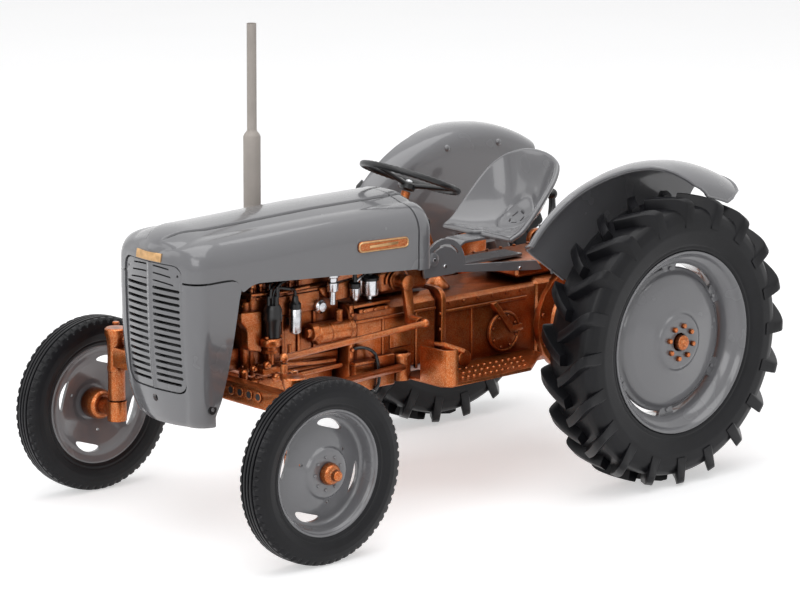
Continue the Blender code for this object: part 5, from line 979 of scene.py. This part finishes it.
def casting_ribs():
    """Ribs, ledges and raised plates cast on the gearbox, bell housing and engine sides."""
    shapes = []
    ring = np.linspace(0, 2 * math.pi, 48, endpoint=False)
    ring_radius, tube, sides = 5.0, 0.42, 8
    angle = np.linspace(0, 2 * math.pi, sides, endpoint=False)
    out = at(np.cos(ring), 0, np.sin(ring))
    # along, distances out from the middle, heights, and how far the corners are rounded
    walls = (((17.0, 45.6), (10.0, 10.95), (44.6, 45.4), 0.2), ((17.0, 45.6), (10.0, 10.9), (29.8, 30.6), 0.2),
             ((35.6, 36.4), (10.0, 10.85), (30.0, 45.0), 0.2), ((49.0, 75.6), (10.6, 11.55), (46.2, 47.0), 0.2),
             ((55.0, 55.8), (10.6, 11.5), (32.0, 47.0), 0.2), ((66.0, 66.8), (10.6, 11.5), (32.0, 47.0), 0.2),
             ((57.4, 64.4), (10.8, 11.6), (38.2, 43.6), 0.5), ((79.4, 104.6), (7.8, 8.85), (36.4, 37.2), 0.2),
             ((79.4, 104.6), (7.8, 8.8), (55.6, 56.4), 0.2))
    for _, side in SIDES:
        path = at(PLATE_X, side * 11.3, AXLE_Z) + ring_radius * out
        points = path[:, None] + tube * (np.cos(angle)[None, :, None] * out[:, None]
                                         + np.sin(angle)[None, :, None] * np.array([0, 1.0, 0]))
        shapes.append(grid(points, close_u=True, close_v=True))
        shapes += [box(x, span(side, *y), z, edge) for x, y, z, edge in walls]
    arch = np.linspace(-0.2, math.pi + 0.2, 24)
    shapes.append(swept(at(61.2 + 3.4 * np.cos(arch), 10.3, 55.2 + 3.0 * np.sin(arch)), 0.45, 8, (0, 1, 0.1)))
    shapes += [box((x - 0.5, x + 0.5), (8.3, 9.05), (38.0, 50.8)) for x in (86.5, 91.5, 96.5)]
    piece("casting_ribs", shapes, "bronze_enamel", sharp=30)


def step_dots():
    """Three rows of small raised domes on each step plate."""
    rows = []
    for line, (x0, x1) in enumerate(((57.4, 24.0), (57.4, 26.5), (56.4, 29.5))):
        rows.append(at(np.linspace(x0, x1, 17 - line), 16.0 + 3.7 * line, 31.08))
    spots = np.vstack(rows)
    dome = [(0.05, 0.30), (0.35, 0.24), (0.55, 0.0), (0.55, -0.2), (0.05, -0.2)]
    both = np.vstack([spots, spots * (1, -1, 1)])
    piece("step_dots", [repeated(lathe(dome, (0, 0, 0), UP, 10), both)], "bronze_enamel", sharp=60)


def engine_side():
    """The bright and black fittings along the engine's left side, each turned about its own axis."""
    base = [(0.1, 0), (1.0, 0), (1.0, 3.2), (1.6, 3.6), (1.7, 4.4), (2.7, 4.7), (2.9, 5.1), (2.9, 6.2), (2.6, 6.6),
            (1.9, 6.8), (0.1, 6.8)]
    cap = [(0.1, 0), (1.9, 0), (2.0, 3.6), (2.3, 4.2), (2.35, 5.2), (2.2, 5.5), (2.25, 6.8), (1.7, 7.9), (0.1, 8.0)]
    piece("distributor_base", [lathe(base, (101.8, 10.5, 39.9), UP, 32),
                               box((99.2, 104.4), (7.6, 10.4), (44.4, 46.2), 0.3),
                               heads([(99.8, 11.9, 46.6), (103.9, 11.8, 46.6)], UP, 0.5, 0.6)], "bronze_enamel",
          sharp=30)
    towers = [lathe([(0.1, 0), (0.5, 0), (0.45, 2.2), (0.1, 2.3)], (101.4 + a, 11.0 + b, 54.6), UP, 12)
              for a, b in ((1.3, 0), (-1.3, 0), (0, 1.3), (0, -1.3), (0, 0))]
    piece("distributor_cap", [lathe(cap, (101.4, 11.0, 46.7), UP, 28)] + towers, "black_plastic",
          replaces=("distributor",), sharp=30)
    piece("coil_can",
          [lathe([(0.1, 0), (1.2, 0), (1.5, 0.3), (1.5, 5.8), (1.3, 6.1), (0.1, 6.1)], (94.3, 10.9, 46.6), UP, 28)],
          "bright_metal", replaces=("ignition_coil",))
    piece("coil_top", [lathe([(0.1, 0), (1.45, 0), (1.45, 1.3), (0.9, 1.9), (0.7, 3.2), (0.1, 3.3)],
                             (94.3, 10.9, 52.6), UP, 24), box((93.4, 95.2), (8.4, 10.2), (48.4, 50.0), 0.1)],
          "black_plastic")
    neck = [(0.1, 0), (0.75, 0), (0.8, 3.0), (1.3, 3.3), (1.5, 4.6), (1.5, 5.4), (1.25, 5.7), (1.25, 6.6), (1.75, 6.9),
            (1.8, 9.2), (1.4, 9.7), (0.1, 9.8)]
    piece("filler_neck", [lathe(neck, (82.2, 10.6, 52.0), UP, 28)], "bright_metal", replaces=("oil_filler",))
    piece("tap_disc", [lathe([(0.1, 0), (1.6, 0), (1.65, 0.8), (1.3, 1.1), (1.1, 1.5), (0.5, 1.6), (0.1, 1.6)],
                             (85.3, 9.2, 51.7), (0, 1, 0), 24)], "bright_metal", replaces=("oil_tap",))
    piece("sediment_bowl", [lathe([(0.1, 0), (0.5, 0), (0.7, 0.4), (1.25, 1.3), (1.3, 3.6), (1.0, 4.0), (0.1, 4.0)],
                                  (74.9, 10.4, 51.4), UP, 24)], "bright_metal", replaces=("fuel_bowl",))
    piece("sediment_lid",
          [lathe([(0.1, 0), (1.5, 0), (1.5, 0.9), (0.6, 1.3), (0.45, 5.6), (0.1, 5.7)], (74.9, 10.4, 55.3), UP, 24)],
          "black_plastic")
    piece("filter_drum", [lathe([(0.1, 0), (0.6, 0), (0.6, 1.0), (2.15, 1.1), (2.25, 1.4), (2.25, 4.9), (0.1, 4.9)],
                                (69.4, 9.6, 51.4), UP, 32)], "bright_metal", replaces=("fuel_filter",))
    piece("filter_lid", [lathe([(0.1, 0), (2.35, 0), (2.4, 0.7), (1.8, 1.2), (0.7, 1.3), (0.7, 1.8), (0.1, 1.8)],
                               (69.4, 9.6, 56.2), UP, 32)], "black_plastic")
    case = [(0.1, 0), (1.0, 0), (1.4, 0.4), (2.2, 0.9), (2.7, 1.3), (2.75, 4.4), (2.6, 4.5), (2.6, 4.8), (2.75, 4.9),
            (2.75, 10.6), (3.1, 10.8), (3.1, 11.8), (2.4, 12.0), (0.1, 12.0)]
    stud = [(0.1, 0), (1.0, 0), (1.05, 2.6), (0.7, 3.0), (0.1, 3.0)]
    piece("starter_case", [lathe(case, (88.6, 10.35, 45.2), (-1, 0, 0), 40), lathe(stud, (80.2, 10.6, 47.6), UP, 20)],
          "bronze_enamel", sharp=30)


def link_fittings():
    """Front cover, studs, bars, joints, shelf and boxes that fill the engine's and clutch housing's left side."""
    cover = softened([(110.2, 53.6), (103.8, 53.2), (103.8, 42.9), (108.0, 44.0), (108.2, 49.0), (110.2, 51.4)], 0.8,
                     steps=4)
    socket = [(0.1, 0), (2.7, 0), (2.8, 6.4), (2.4, 6.9), (2.1, 6.9), (2.0, 6.2), (0.1, 6.2)]
    shapes = [plate(cover, 7.0, 9.9, "Y", 0.25),
              lathe([(0.1, 0), (1.15, 0), (1.15, 2.6), (0.8, 3.1), (0.1, 3.1)], (109.4, 9.6, 36.4), UP, 20),
              box((106.6, 111.2), (6.0, 11.6), (35.9, 36.9), 0.3), box((98.2, 105.2), (7.0, 11.9), (37.6, 39.4), 0.4),
              box((63.4, 69.6), (8.0, 12.4), (29.4, 37.2), 0.35), box((70.6, 77.2), (8.0, 13.4), (29.4, 36.2), 0.3),
              box((70.3, 77.5), (8.0, 13.7), (36.1, 36.9), 0.25), lathe(socket, (60.4, 10.8, 30.0), UP, 32),
              lathe([(0.1, 0), (0.55, 0), (0.5, 2.6), (0.1, 2.6)], (96.7, 11.6, 41.6), UP, 14),
              box((76.4, 77.8), (7.6, 11.9), (37.6, 51.2), 0.3), box((64.5, 76.4), (9.6, 11.9), (50.2, 51.0), 0.2)]
    for x, y, z, size in ((103.9, 11.7, 40.2, 1.0), (101.2, 12.0, 36.9, 1.15), (98.9, 12.3, 40.0, 0.95),
                          (107.2, 10.6, 39.6, 0.85)):
        shapes.append(lathe(ball(size), (x, y, z), (0, 1, 0), 16))
        shapes.append(heads([(x, y + size * 0.8, z)], (0, 1, 0), size * 0.55, 0.5))
    bars = (((98.0, 12.2, 39.6), (90.0, 11.6, 38.6), (81.5, 10.6, 37.9), 0.5),
            ((97.4, 12.5, 36.4), (90.0, 11.8, 36.5), (79.5, 10.6, 36.4), 0.6))
    for start, middle, end, size in bars:
        shapes.append(swept(spline([start, middle, end], 12), size, 10, (0, 1, 0.1)))
    for x in (91.2, 94.2, 97.2, 100.2, 103.2, 106.0):
        shapes.append(lathe([(0.1, 0), (0.42, 0), (0.42, 2.6), (0.7, 2.8), (0.7, 3.5), (0.1, 3.6)], (x, 8.6, 56.2),
                            UP, 12))
    shapes.append(swept(spline([(107.0, 9.4, 57.4), (98.0, 9.9, 57.0), (89.0, 9.6, 57.2)], 16), 0.45, 10))
    wedge = softened([(85.4, 56.2), (84.4, 54.2), (80.2, 52.3), (73.2, 52.6), (72.4, 57.2)], 0.5, steps=3)
    shapes.append(plate(wedge, 7.6, 9.4, "Y", 0.2))
    piece("link_fittings", shapes, "bronze_enamel", sharp=30)
    nuts = [(x, 12.3, 49.3) for x in (66.5, 70.0, 73.5)] + [(77.1, 12.0, z) for z in (40.0, 44.4, 48.8)]
    piece("housing_nuts", [heads(nuts, (0, 1, 0), 0.5, 0.45), box((65.0, 75.0), (9.6, 12.3), (48.8, 49.8), 0.2)],
          "bronze_enamel", sharp=20)
    # a black disc inside the socket's cup: painted shade
    piece("socket_shade", [lathe([(0.1, 0), (1.95, 0), (1.95, 0.15), (0.1, 0.15)], (60.4, 10.8, 36.15), UP, 28)],
          "black_plastic")


def leads():
    """Ignition leads and the battery cable, each a tube on a spline from its fitting to where it is fixed."""
    runs = []
    for i, (a, b) in enumerate(((1.2, 0), (-1.2, 0), (0, 1.2), (0, -1.2))):
        start = (101.2 + a, 11.3 + b, 56.4)
        end = (98.5 - 4.6 * i, 7.6, 60.2)
        lift = 58.6 + 0.5 * i
        path = spline([start, (start[0] - 0.3, start[1] + 0.1, lift), ((start[0] + end[0]) / 2, 10.6, lift + 0.9),
                       end], 28)
        runs.append(swept(path, 0.38, 10, (0.2, 1, 0.1)))
    path = spline([(101.4, 11.0, 56.4), (100.6, 11.6, 58.6), (97.5, 12.2, 58.2), (94.9, 11.2, 57.4),
                   (94.3, 10.9, 55.6)], 30)
    runs.append(swept(path, 0.4, 10, (0.2, 1, 0.1)))
    cable = spline([(77.4, 11.4, 39.8), (75.6, 12.6, 40.4), (73.2, 13.4, 40.0), (71.2, 13.9, 38.4),
                    (70.3, 14.0, 35.6), (70.0, 14.0, 32.6), (70.2, 13.9, 30.6), (71.2, 13.6, 29.2)], 48)
    runs.append(swept(cable, 0.42, 10, (0.3, 0.1, 0.2)))
    runs.append(swept(spline([(70.2, 13.9, 34.8), (69.0, 13.6, 33.8), (67.2, 13.0, 33.4)], 12), 0.38, 10,
                      (0.3, 0.1, 1)))
    piece("black_leads", runs, "black_wire")
    pipes = []
    path = spline([(74.9, 10.4, 62.6), (78.0, 9.6, 62.9), (82.0, 8.4, 62.2), (88.0, 7.9, 61.8)], 24)
    pipes.append(swept(path, 0.32, 8, (0.1, 0, 1)))
    path = spline([(69.5, 9.2, 56.4), (70.4, 9.9, 58.0), (72.6, 10.3, 57.6), (74.6, 10.4, 56.4)], 24)
    pipes.append(swept(path, 0.32, 8, (0.1, 0, 1)))
    piece("fuel_pipes", pipes, "bright_metal")


def badges():
    """Bare plates: long bronze pills with a raised gilt border on the bonnet's sides, a bowed gilt strip on its nose.
    """
    shapes, fields = [], []
    pill = softened([(63.1, 64.75), (79.3, 65.2), (79.3, 68.0), (63.1, 67.55)], 1.35, steps=9)
    middle = (pill - pill.mean(0)) * (0.965, 0.8) + pill.mean(0)
    width = hood_half(pill[:, 0].mean())
    for _, side in SIDES:
        fields.append(plate(pill, *span(side, width - 0.35, width + 0.28), "Y", 0.12))
        edge = at(middle[:, 0], side * (width + 0.28), middle[:, 1])
        shapes.append(swept(np.vstack([edge, edge[:2]]), 0.2, 6, (0, 1, 0)))
        shapes.append(box((66.6, 75.8), span(side, width + 0.2, width + 0.4), (66.05, 66.7), 0.08))
    piece("side_badges", fields, "bronze_enamel", sharp=30)
    piece("side_badge_borders", shapes, "gilt", sharp=30)
    across, up = np.meshgrid(np.linspace(-4.7, 4.7, 25), np.linspace(67.75, 69.75, 6))
    badge = bare("nose_badge", grid(np.stack([133.0 + 0 * up, across, up], -1)))
    wrap = badge.modifiers.new("wrap", "SHRINKWRAP")
    wrap.target = bpy.data.objects["bonnet_sheet"]
    wrap.wrap_method = "PROJECT"
    wrap.use_project_x = True
    wrap.use_negative_direction = True
    wrap.use_positive_direction = False
    wrap.offset = 0.0
    wall = badge.modifiers.new("wall", "SOLIDIFY")
    wall.thickness = 0.5 * MM
    wall.offset = 0
    settle(badge)
    weld(badge)
    dress(badge, "gilt", "chassis", (), 40)


def driver_controls():
    """Gear lever with its knob, the grey quadrant plate with its rod, and the black lever behind the seat."""
    base = 48.7
    lever = spline([(38.5, 0, base + 2.0), (39.5, 0, base + 9.0), (41.5, -1.0, base + 16.5)], 24)
    piece("gear_stick", [swept(lever, np.linspace(0.62, 0.42, 24), 12, (0, 1, 0)),
                         lathe([(0.1, 0), (3.4, 0), (3.3, 0.5), (2.4, 1.6), (1.7, 2.6), (1.0, 3.1), (0.1, 3.2)],
                               (38.5, 0, base), UP, 32)], "bronze_enamel", replaces=("gear_lever",), sharp=40)
    piece("gear_knob", [lathe(ball(1.25, 1.2, 12, 0.05), (41.6, -1.0, base + 15.8), UP, 24)], "black_plastic",
          sharp=60)
    arc = np.radians(np.linspace(-20, 190, 40))
    sector = np.vstack([np.column_stack([45.8 + 7.0 * np.cos(arc), 56.8 + 7.0 * np.sin(arc)]), [(42.8, 54.4)]])
    bar = softened([(46.8, 55.2), (46.8, 57.0), (14.0, 54.2), (12.0, 51.6), (14.0, 51.6)], 0.5, steps=3)
    slot = np.radians(np.linspace(20, 150, 24))
    round_slot = np.column_stack([np.cos(slot), np.sin(slot)])
    arch = np.vstack([5.6 * round_slot, 4.9 * round_slot[::-1]]) + (45.8, 56.8)
    piece("quadrant_sheet", [plate(sector, 10.3, 11.1, "Y", 0.12)], "grey_enamel", replaces=("quadrant_plate",),
          cutters=[plate(arch, 9.0, 12.5, "Y", 0.01)], sharp=30)
    piece("quadrant_rod", [plate(bar, 10.35, 11.05, "Y", 0.1)], "grey_enamel", sharp=30)
    piece("quadrant_disc",
          [lathe([(0.1, -0.1), (1.8, -0.1), (1.8, 0.5), (1.4, 0.7), (0.1, 0.7)], (50.0, 11.0, 59.0), (0, 1, 0), 28)],
          "grey_enamel")
    piece("quadrant_bolts",
          [heads([(50.0, 11.65, 59.0), (45.8, 11.05, 56.8), (20.0, 11.0, 53.0)], (0, 1, 0), 0.5, 0.4)],
          "bright_metal", sharp=20)
    post = spline([(-2.5, -2.0, 53.2), (-4.5, -3.4, 57.5), (-7.2, -5.6, 62.5), (-7.9, -6.4, 65.6)], 28)
    piece("top_link_lever", [swept(post, np.linspace(1.25, 0.85, 28), 14, (0, 1, 0.1)),
                             lathe(ball(1.5, 1.4, 12, 0.05), (-7.9, -6.4, 65.0), (-0.1, -0.2, 1), 24),
                             lathe([(0.1, -0.4), (2.3, -0.4), (2.1, 0.5), (1.4, 1.1), (0.1, 1.2)], (-2.4, -2.0, 53.3),
                                   UP, 28)], "black_plastic", sharp=50)


def small_trim():
    """The beam's eyes with painted shade in their holes, the kingpins' sleeves and the knobs on the dash."""
    eyes = [((x, side * (13.5 + 3.4 * n), BEAM_Z), (way, 0, 0), 20)
            for n in range(4) for side in (1, -1) for x, way in ((116.15, 1), (112.45, -1))]
    rim = [(0.85, -0.1), (1.25, -0.1), (1.25, 0.3), (0.85, 0.3)]
    hole = [(0.05, -0.1), (0.8, -0.1), (0.8, 0.36), (0.05, 0.36)]
    piece("beam_eyes", [lathe(rim, *eye) for eye in eyes], "bronze_enamel", sharp=30)
    # black discs in the eyes' holes: painted shade
    piece("beam_holes", [lathe(hole, *eye) for eye in eyes], "black_plastic", sharp=30)
    sleeve = [(2.0, 0), (2.3, 0.2), (2.4, 1.2), (2.25, 1.6), (2.2, 5.0), (2.45, 8.4), (2.9, 9.6), (2.9, 10.9),
              (2.5, 11.2), (2.0, 11.2)]
    piece("kingpin_sleeves", [lathe(sleeve, (WHEELBASE, side * KINGPIN_Y, 31.9), UP, 32) for _, side in SIDES],
          "bronze_enamel", sharp=30)
    knob = [(0.1, 0), (0.3, 0), (0.3, 1.6), (0.9, 1.9), (0.9, 2.6), (0.1, 2.9)]
    piece("dash_knobs",
          [lathe(knob, (55.4, y, z), (-1, 0, 0), 16) for y, z in ((6.0, 70.0), (-6.0, 70.0), (9.5, 66.0))],
          "black_plastic")


# Stage

def seen_or_mirrored(tree):
    """One for a ray from the camera or off a shiny face, none for the others."""
    rays = add_node(tree, "ShaderNodeLightPath")
    return add_node(tree, "ShaderNodeMath", {"operation": "MAXIMUM"},
                    {0: (rays, "Is Camera Ray"), 1: (rays, "Is Glossy Ray")}), 0


def floor_paint():
    """Matt white card: even, with a glow for the camera alone that keeps it white and leaves the shadow."""
    paint, tree, where = paint_tree("matt_white_card")
    colour = two_tone(tree, where, 60.0, linear("#e9e9ea"), 0.01)
    card = add_node(tree, "ShaderNodeBsdfPrincipled",
                    inputs={"Base Color": colour, "Roughness": 0.75, "Specular IOR Level": 0.2})
    strength = add_node(tree, "ShaderNodeMath", {"operation": "MULTIPLY"}, {0: seen_or_mirrored(tree), 1: 0.5})
    glow = add_node(tree, "ShaderNodeEmission", inputs={"Color": linear("#ffffff"), "Strength": (strength, 0)})
    both = add_node(tree, "ShaderNodeAddShader", inputs={0: (card, "BSDF"), 1: (glow, "Emission")})
    add_node(tree, "ShaderNodeOutputMaterial", inputs={"Surface": (both, 0)})
    return paint


def stage_floor(size):
    """A square just under the tyres, its width in metres."""
    half = size / 2 / MM
    points = np.stack(np.meshgrid(np.linspace(-half, half, 3), np.linspace(-half, half, 3))
                      + [np.full((3, 3), -0.05)], -1)
    verts, faces = grid(points[::-1])
    floor = bare("floor", (verts + (MIDDLE_X, 0, 0), faces))
    if floor.data.polygons[0].normal.z < 0:
        floor.data.flip_normals()
    floor.data.materials.append(floor_paint())


def studio_world():
    """White to the eye and in reflections, and a dimmer white as light."""
    world = bpy.data.worlds.new("studio")
    bpy.context.scene.world = world
    world.use_nodes = True
    tree = world.node_tree
    tree.nodes.clear()
    strength = add_node(tree, "ShaderNodeMapRange",
                        inputs={"Value": seen_or_mirrored(tree), "To Min": 0.30, "To Max": 1.0})
    sky = add_node(tree, "ShaderNodeBackground", inputs={"Color": linear("#ffffff"), "Strength": (strength, 0)})
    add_node(tree, "ShaderNodeOutputWorld", inputs={"Surface": (sky, 0)})


def soft_lamp(name, place, size, power):
    """A rectangle of light, sizes in metres and power in watts, that faces the tractor's middle."""
    light = bpy.data.lights.new(name, "AREA")
    light.shape = "RECTANGLE"
    light.size, light.size_y = size
    light.energy = power
    lamp = bpy.data.objects.new(name, light)
    lamp.location = place
    lamp.rotation_mode = "QUATERNION"
    lamp.rotation_quaternion = (Vector((0, 0, 0.04)) - Vector(place)).to_track_quat("-Z", "Y")
    bpy.context.scene.collection.objects.link(lamp)


def camera():
    """The view fitted to the four wheels: place, yaw, pitch and roll, and the lens for a 36 mm sensor."""
    yaw, pitch, roll = -2.2927, -0.2112, 0.005
    ahead = Vector((math.cos(pitch) * math.cos(yaw), math.cos(pitch) * math.sin(yaw), math.sin(pitch)))
    right = ahead.cross(Vector(UP)).normalized()
    up = right.cross(ahead)
    right, up = right * math.cos(roll) + up * math.sin(roll), up * math.cos(roll) - right * math.sin(roll)
    data = bpy.data.cameras.new("photo_view")
    data.lens = 159.7
    data.sensor_width = 36
    data.clip_start = 0.05
    data.clip_end = 20
    view = bpy.data.objects.new("photo_view", data)
    turn = Matrix((right, up, -ahead)).transposed().to_4x4()
    view.matrix_world = Matrix.Translation(Vector(placed((629.906, 657.601, 234.849)))) @ turn
    bpy.context.scene.collection.objects.link(view)
    bpy.context.scene.camera = view


# Add-on

def colour_choice(label, code, description):
    return bpy.props.FloatVectorProperty(name=label, description=description, subtype="COLOR", size=3, min=0, max=1,
                                         default=linear(code)[:3])


class TractorColours(bpy.types.PropertyGroup):
    enamel: colour_choice("Enamel", "#747477", "Grey of the sheet metal and wheels")
    bronze: colour_choice("Bronze", "#b65a20", "Base colour of the castings' metallic enamel")
    rubber: colour_choice("Rubber", "#151518", "Colour of the tyres")
    black: colour_choice("Black", "#161618", "Colour of the black plastic pieces")
    stack: colour_choice("Stack", "#b3aba4", "Colour of the exhaust")
    plating: colour_choice("Plating", "#d0d1d4", "Colour of the bright fittings")
    gilt: colour_choice("Gilt", "#cfa676", "Colour of the bare badge plates")


class TractorSizes(bpy.types.PropertyGroup):
    lugs: bpy.props.IntProperty(name="Lugs", description="Tread bars on each side of a rear tyre", default=20, min=8,
                                max=40)
    notches: bpy.props.IntProperty(name="Notches", description="Shoulder notches round a front tyre", default=60,
                                   min=12, max=120)
    floor: bpy.props.FloatProperty(name="Floor", description="Width of the stage's floor", default=6.0, min=1.0,
                                   subtype="DISTANCE", unit="LENGTH")


class TRACTOR_OT_finishes(bpy.types.Operator):
    """Makes the paints, rubber, plastics and metals"""
    bl_idname = "tractor.finishes"
    bl_label = "Finishes"

    def execute(self, context):
        make_paints()
        return {"FINISHED"}


class TRACTOR_OT_front_wheels(bpy.types.Operator):
    """Builds the ribbed front tyres, pressed rims and hub caps"""
    bl_idname = "tractor.front_wheels"
    bl_label = "Front wheels"

    def execute(self, context):
        for label, side in SIDES:
            front_wheel(label, side, context.scene.tractor_sizes.notches)
        return {"FINISHED"}


class TRACTOR_OT_rear_wheels(bpy.types.Operator):
    """Builds the lugged rear tyres, rims, discs and hubs"""
    bl_idname = "tractor.rear_wheels"
    bl_label = "Rear wheels"

    def execute(self, context):
        for label, side in SIDES:
            rear_wheel(label, side, context.scene.tractor_sizes.lugs)
        return {"FINISHED"}


class TRACTOR_OT_sheet_metal(bpy.types.Operator):
    """Builds the bonnet, nose, grille, dash cowl and mudguards"""
    bl_idname = "tractor.sheet_metal"
    bl_label = "Sheet metal"

    def execute(self, context):
        bonnet()
        nose()
        grille()
        cowl()
        for label, side in SIDES:
            mudguard(label, side)
        return {"FINISHED"}


class TRACTOR_OT_driver_place(bpy.types.Operator):
    """Builds the seat, steering wheel, gear lever and quadrant"""
    bl_idname = "tractor.driver_place"
    bl_label = "Driver's place"

    def execute(self, context):
        seat()
        steering_wheel()
        driver_controls()
        return {"FINISHED"}


class TRACTOR_OT_exhaust(bpy.types.Operator):
    """Builds the upright exhaust"""
    bl_idname = "tractor.exhaust"
    bl_label = "Exhaust"

    def execute(self, context):
        exhaust()
        return {"FINISHED"}


class TRACTOR_OT_castings(bpy.types.Operator):
    """Rounds the castings and adds their bolts, ribs and step dots"""
    bl_idname = "tractor.castings"
    bl_label = "Castings"

    def execute(self, context):
        castings()
        casting_bolts()
        casting_ribs()
        step_dots()
        return {"FINISHED"}


class TRACTOR_OT_engine_side(bpy.types.Operator):
    """Builds the distributor, coil, filters, leads and pipes along the engine"""
    bl_idname = "tractor.engine_side"
    bl_label = "Engine side"

    def execute(self, context):
        engine_side()
        link_fittings()
        leads()
        return {"FINISHED"}


class TRACTOR_OT_trim(bpy.types.Operator):
    """Adds the bare badge plates, kingpin sleeves, knobs and beam eyes"""
    bl_idname = "tractor.trim"
    bl_label = "Trim"

    def execute(self, context):
        badges()
        small_trim()
        return {"FINISHED"}


class TRACTOR_OT_stage(bpy.types.Operator):
    """Sets up the floor, soft lamps, white surroundings and camera"""
    bl_idname = "tractor.stage"
    bl_label = "Stage"

    def execute(self, context):
        stage_floor(context.scene.tractor_sizes.floor)
        studio_world()
        soft_lamp("overhead", (0.05, 0.10, 0.95), (1.1, 1.1), 6.2)
        soft_lamp("front_left", (0.80, 0.55, 0.55), (0.7, 0.5), 2.3)
        soft_lamp("front_right", (0.75, -0.70, 0.45), (0.6, 0.5), 1.0)
        camera()
        context.scene.view_settings.view_transform = "Standard"
        return {"FINISHED"}


class TRACTOR_PT_panel(bpy.types.Panel):
    """Lists the tractor's sizes, colours and building steps"""
    bl_idname = "TRACTOR_PT_panel"
    bl_label = "Farm Tractor"
    bl_space_type = "VIEW_3D"
    bl_region_type = "UI"
    bl_category = "Tractor"

    def draw(self, context):
        for name in TractorSizes.__annotations__:
            self.layout.prop(context.scene.tractor_sizes, name)
        for name in TractorColours.__annotations__:
            self.layout.prop(context.scene.tractor_colours, name)
        for step in STEPS:
            self.layout.operator(step.bl_idname)


STEPS = (TRACTOR_OT_stage, TRACTOR_OT_finishes, TRACTOR_OT_front_wheels, TRACTOR_OT_rear_wheels,
         TRACTOR_OT_sheet_metal, TRACTOR_OT_driver_place, TRACTOR_OT_exhaust, TRACTOR_OT_castings,
         TRACTOR_OT_engine_side, TRACTOR_OT_trim)
CLASSES = (TractorColours, TractorSizes) + STEPS + (TRACTOR_PT_panel,)


def register():
    for made in CLASSES:
        bpy.utils.register_class(made)
    bpy.types.Scene.tractor_colours = bpy.props.PointerProperty(type=TractorColours)
    bpy.types.Scene.tractor_sizes = bpy.props.PointerProperty(type=TractorSizes)


def unregister():
    del bpy.types.Scene.tractor_sizes
    del bpy.types.Scene.tractor_colours
    for made in reversed(CLASSES):
        bpy.utils.unregister_class(made)


def main():
    register()
    bpy.ops.tractor.stage()
    bpy.ops.tractor.finishes()
    bpy.ops.tractor.front_wheels()
    bpy.ops.tractor.rear_wheels()
    bpy.ops.tractor.sheet_metal()
    bpy.ops.tractor.driver_place()
    bpy.ops.tractor.exhaust()
    bpy.ops.tractor.castings()
    bpy.ops.tractor.engine_side()
    bpy.ops.tractor.trim()


if __name__ == "__main__":
    main()
